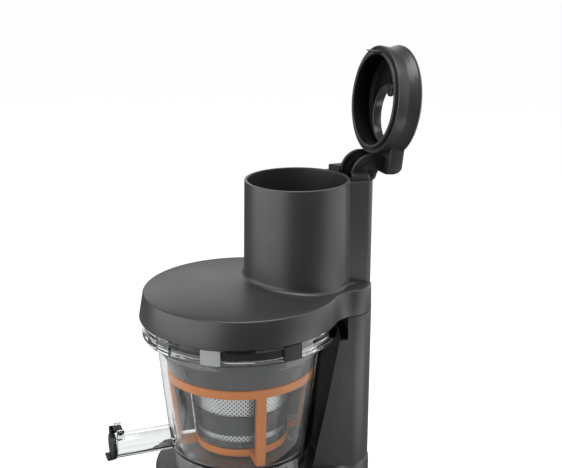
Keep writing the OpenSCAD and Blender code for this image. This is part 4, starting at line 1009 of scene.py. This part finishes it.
def make_ring_gear():
    """Ring under the bars with teeth on its inside."""
    bm = bmesh.new()
    low, high = GEAR_LOW, GEAR_LOW + 6.5
    side = rounded([(GEAR_R - 1, low, 0), (GEAR_R, low, 0.5), (GEAR_R, high, 0.5), (GEAR_R - 1, high, 0)])
    rim = swept(bm, circle(138), side)
    # Each tooth in quarters of a pitch from its middle, turned to mesh with the wheel gear
    root, tip, mesh_angle = 33.0, 36.4, 63.9
    points = []
    for i in range(GEAR_TEETH):
        for r, k in ((root, -1.45), (tip, -0.5), (tip, 0.5), (root, 1.45)):
            a = math.radians(mesh_angle + (360 * i + 90 * k) / GEAR_TEETH)
            points.append((r * math.cos(a), r * math.sin(a), 0, 0))
    inside = swept(bm, points, [(0, low), (0, high)])
    fill(bm, rim[0], inside[0])
    fill(bm, rim[-1], inside[-1])
    return to_object("wiper_ring_gear", bm)


def make_wiper_bars():
    """Leaning bars from the gear up to the ring, each with a short arm at its foot."""
    bm = bmesh.new()
    foot_r, bar_t = 53.3, 4
    side = [(foot_r, GEAR_LOW), (foot_r + bar_t, GEAR_LOW), (RING_R, RING_LOW + 2),
            (RING_R - bar_t, RING_LOW + 2)]
    for i in range(BAR_COUNT):
        old = set(bm.verts)
        plate(bm, front_view, side, -BAR_HALF, BAR_HALF, 1.1)
        box_shape(bm, GEAR_R - 2, foot_r + 2, -BAR_HALF, BAR_HALF, GEAR_LOW, GEAR_LOW + 6, 0.8)
        turn = math.radians(360 / BAR_COUNT * i + FIRST_BAR)
        moved(bm, [v for v in bm.verts if v not in old], Matrix.Rotation(turn, 4, "Z"))
    return to_object("wiper_bars", bm)


piece(make_collar(), "bowl", smoke_grey, "strainer_grey", "strainer_frame")
piece(make_basket(), "bowl", smoke_grey, "strainer_grey")
piece(make_wiper_ring(), "wiper", orange, "orange_plastic", "wiper_frame")
piece(make_ring_gear(), "wiper", orange, "orange_plastic")
piece(make_wiper_bars(), "wiper", orange, "orange_plastic")


# ---- Cap of the spout and flap of the pulp duct ----

def add_knuckle(bm, view, u, z):
    """Knuckle round a hinge pin."""
    plate(bm, view, sector(u, z, KNUCKLE_R, 0, 360, 24)[:-1], -KNUCKLE_HW, KNUCKLE_HW, 0.4)


def make_cap():
    """Round cap that closes the spout, with its strap over the pin and a lip to lift it by."""
    bm = bmesh.new()
    back, face, edge_r, strap_top = SPOUT_Y + GAP, SPOUT_Y + 4, SPOUT_R + 3.4, CAP_PIN_Z + KNUCKLE_R
    disc = rounded([(0.01, back, 0), (edge_r, back, 0.6), (edge_r, face, 1.2), (0.01, face, 0)])
    turned_forward(bm, 64, disc, SPOUT_Z)
    box_shape(bm, -KNUCKLE_HW, KNUCKLE_HW, -face, -back, SPOUT_Z + SPOUT_R, strap_top, 0.7)
    box_shape(bm, -KNUCKLE_HW, KNUCKLE_HW, -face, CAP_PIN_Y - 2, CAP_PIN_Z, strap_top, 0.7)
    add_knuckle(bm, side_view, CAP_PIN_Y, CAP_PIN_Z)
    box_shape(bm, -6, 6, -face - 4, 1 - face, SPOUT_Z - 10.4, SPOUT_Z - 8, 0.8)
    return to_object("juice_cap_body", bm)


def make_flap():
    """Flap over the duct's end, with its strap over the pin."""
    bm = bmesh.new()
    back = DUCT_END - GAP
    face = back - 2.5
    box_shape(bm, face, back, -DUCT_HW, DUCT_HW, DUCT_LOW, FLAP_PIN_Z + 1, 0.8)
    box_shape(bm, face, FLAP_PIN_X, -KNUCKLE_HW, KNUCKLE_HW,
              FLAP_PIN_Z - KNUCKLE_R, FLAP_PIN_Z + KNUCKLE_R, 0.7)
    add_knuckle(bm, front_view, FLAP_PIN_X, FLAP_PIN_Z)
    return to_object("pulp_flap_body", bm)


piece(make_cap(), "cap", black_abs, "black_plastic", "juice_cap")
piece(make_flap(), "flap", black_abs, "black_plastic", "pulp_flap")


# ---- Floor, light and camera, in metres and degrees ----

WHITE = (1, 1, 1, 1)
LAMP_TARGET = Vector((0, 0.02, 0.3))
CAMERA_AZIMUTH, CAMERA_PITCH = 70.0, 16.7
CAMERA_PLACE = Vector((760.4, -239.6, RIM + 285.7)) * MM
SENSOR_MM, FOCAL_PX, PICTURE_W_PX = 36.0, 1000, 562


def seen_directly(tree):
    """1 for what the camera sees, straight or through the clear bowl, and 0 for light on the juicer."""
    path = add(tree, "ShaderNodeLightPath").outputs
    ways = {0: path["Is Camera Ray"], 1: path["Is Transmission Ray"]}
    return add(tree, "ShaderNodeMath", ways, operation="MAXIMUM").outputs[0]


def make_stage():
    """Floor that looks white and throws back less light than that."""
    bm = bmesh.new()
    bmesh.ops.create_grid(bm, x_segments=1, y_segments=1, size=9 / MM)
    floor = to_object("floor", bm)
    m, tree, shader = material("white_floor")
    shader.inputs["Base Color"].default_value = linear("#7c7c7c")
    shader.inputs["Roughness"].default_value = 0.9
    glow = add(tree, "ShaderNodeMath", {0: seen_directly(tree), 1: 0.95}, operation="MULTIPLY")
    tree.links.new(glow.outputs[0], shader.inputs["Emission Strength"])
    shader.inputs["Emission Color"].default_value = WHITE
    floor.data.materials.append(m)


def make_world():
    """White surroundings that light the juicer only a little."""
    world = bpy.data.worlds.new("studio")
    bpy.context.scene.world = world
    world.use_nodes = True
    back = world.node_tree.nodes["Background"]
    level = add(world.node_tree, "ShaderNodeMapRange", {
        "Value": seen_directly(world.node_tree), "To Min": 0.14, "To Max": 1.0})
    world.node_tree.links.new(level.outputs["Result"], back.inputs["Strength"])
    back.inputs["Color"].default_value = WHITE


def softbox(name, azimuth, height, distance, size, power):
    """Area lamp that looks at the middle of the juicer; its azimuth is counted like the camera's."""
    lamp = bpy.data.lights.new(name, "AREA")
    lamp.shape, lamp.size, lamp.size_y, lamp.energy = "RECTANGLE", size[0], size[1], power
    obj = bpy.data.objects.new(name, lamp)
    a = math.radians(azimuth)
    obj.location = LAMP_TARGET + Vector((math.sin(a) * distance, -math.cos(a) * distance, height))
    obj.rotation_euler = (LAMP_TARGET - obj.location).to_track_quat("-Z", "Y").to_euler()
    obj.visible_camera = False
    bpy.context.scene.collection.objects.link(obj)


def make_camera():
    """Camera that looks down on the juicer from its right, a little to the front."""
    azimuth, pitch = math.radians(CAMERA_AZIMUTH), math.radians(CAMERA_PITCH)
    cam = bpy.data.cameras.new("camera")
    cam.sensor_width = SENSOR_MM
    cam.lens = SENSOR_MM * FOCAL_PX / PICTURE_W_PX
    obj = bpy.data.objects.new("camera", cam)
    obj.location = CAMERA_PLACE
    back = Vector((math.sin(azimuth) * math.cos(pitch), -math.cos(azimuth) * math.cos(pitch),
                   math.sin(pitch)))
    obj.rotation_mode = "QUATERNION"
    obj.rotation_quaternion = back.to_track_quat("Z", "Y")
    bpy.context.scene.collection.objects.link(obj)
    bpy.context.scene.camera = obj


make_camera()
make_stage()
make_world()
softbox("left_softbox", 5, 0.25, 1.2, (2.3, 1.4), 24)
softbox("right_softbox", 174, 0.25, 1.2, (2.2, 1.4), 15)
softbox("back_softbox", 262, 0.6, 1.3, (1.6, 0.7), 4)
softbox("top_softbox", 70, 1.4, 0.15, (0.9, 0.9), 12)
softbox("high_softbox", 139, 1.0, 0.48, (0.5, 0.5), 3)
softbox("low_softbox", 142, -0.24, 0.6, (0.5, 0.2), 0.85)
bpy.context.scene.view_settings.view_transform = "Standard"
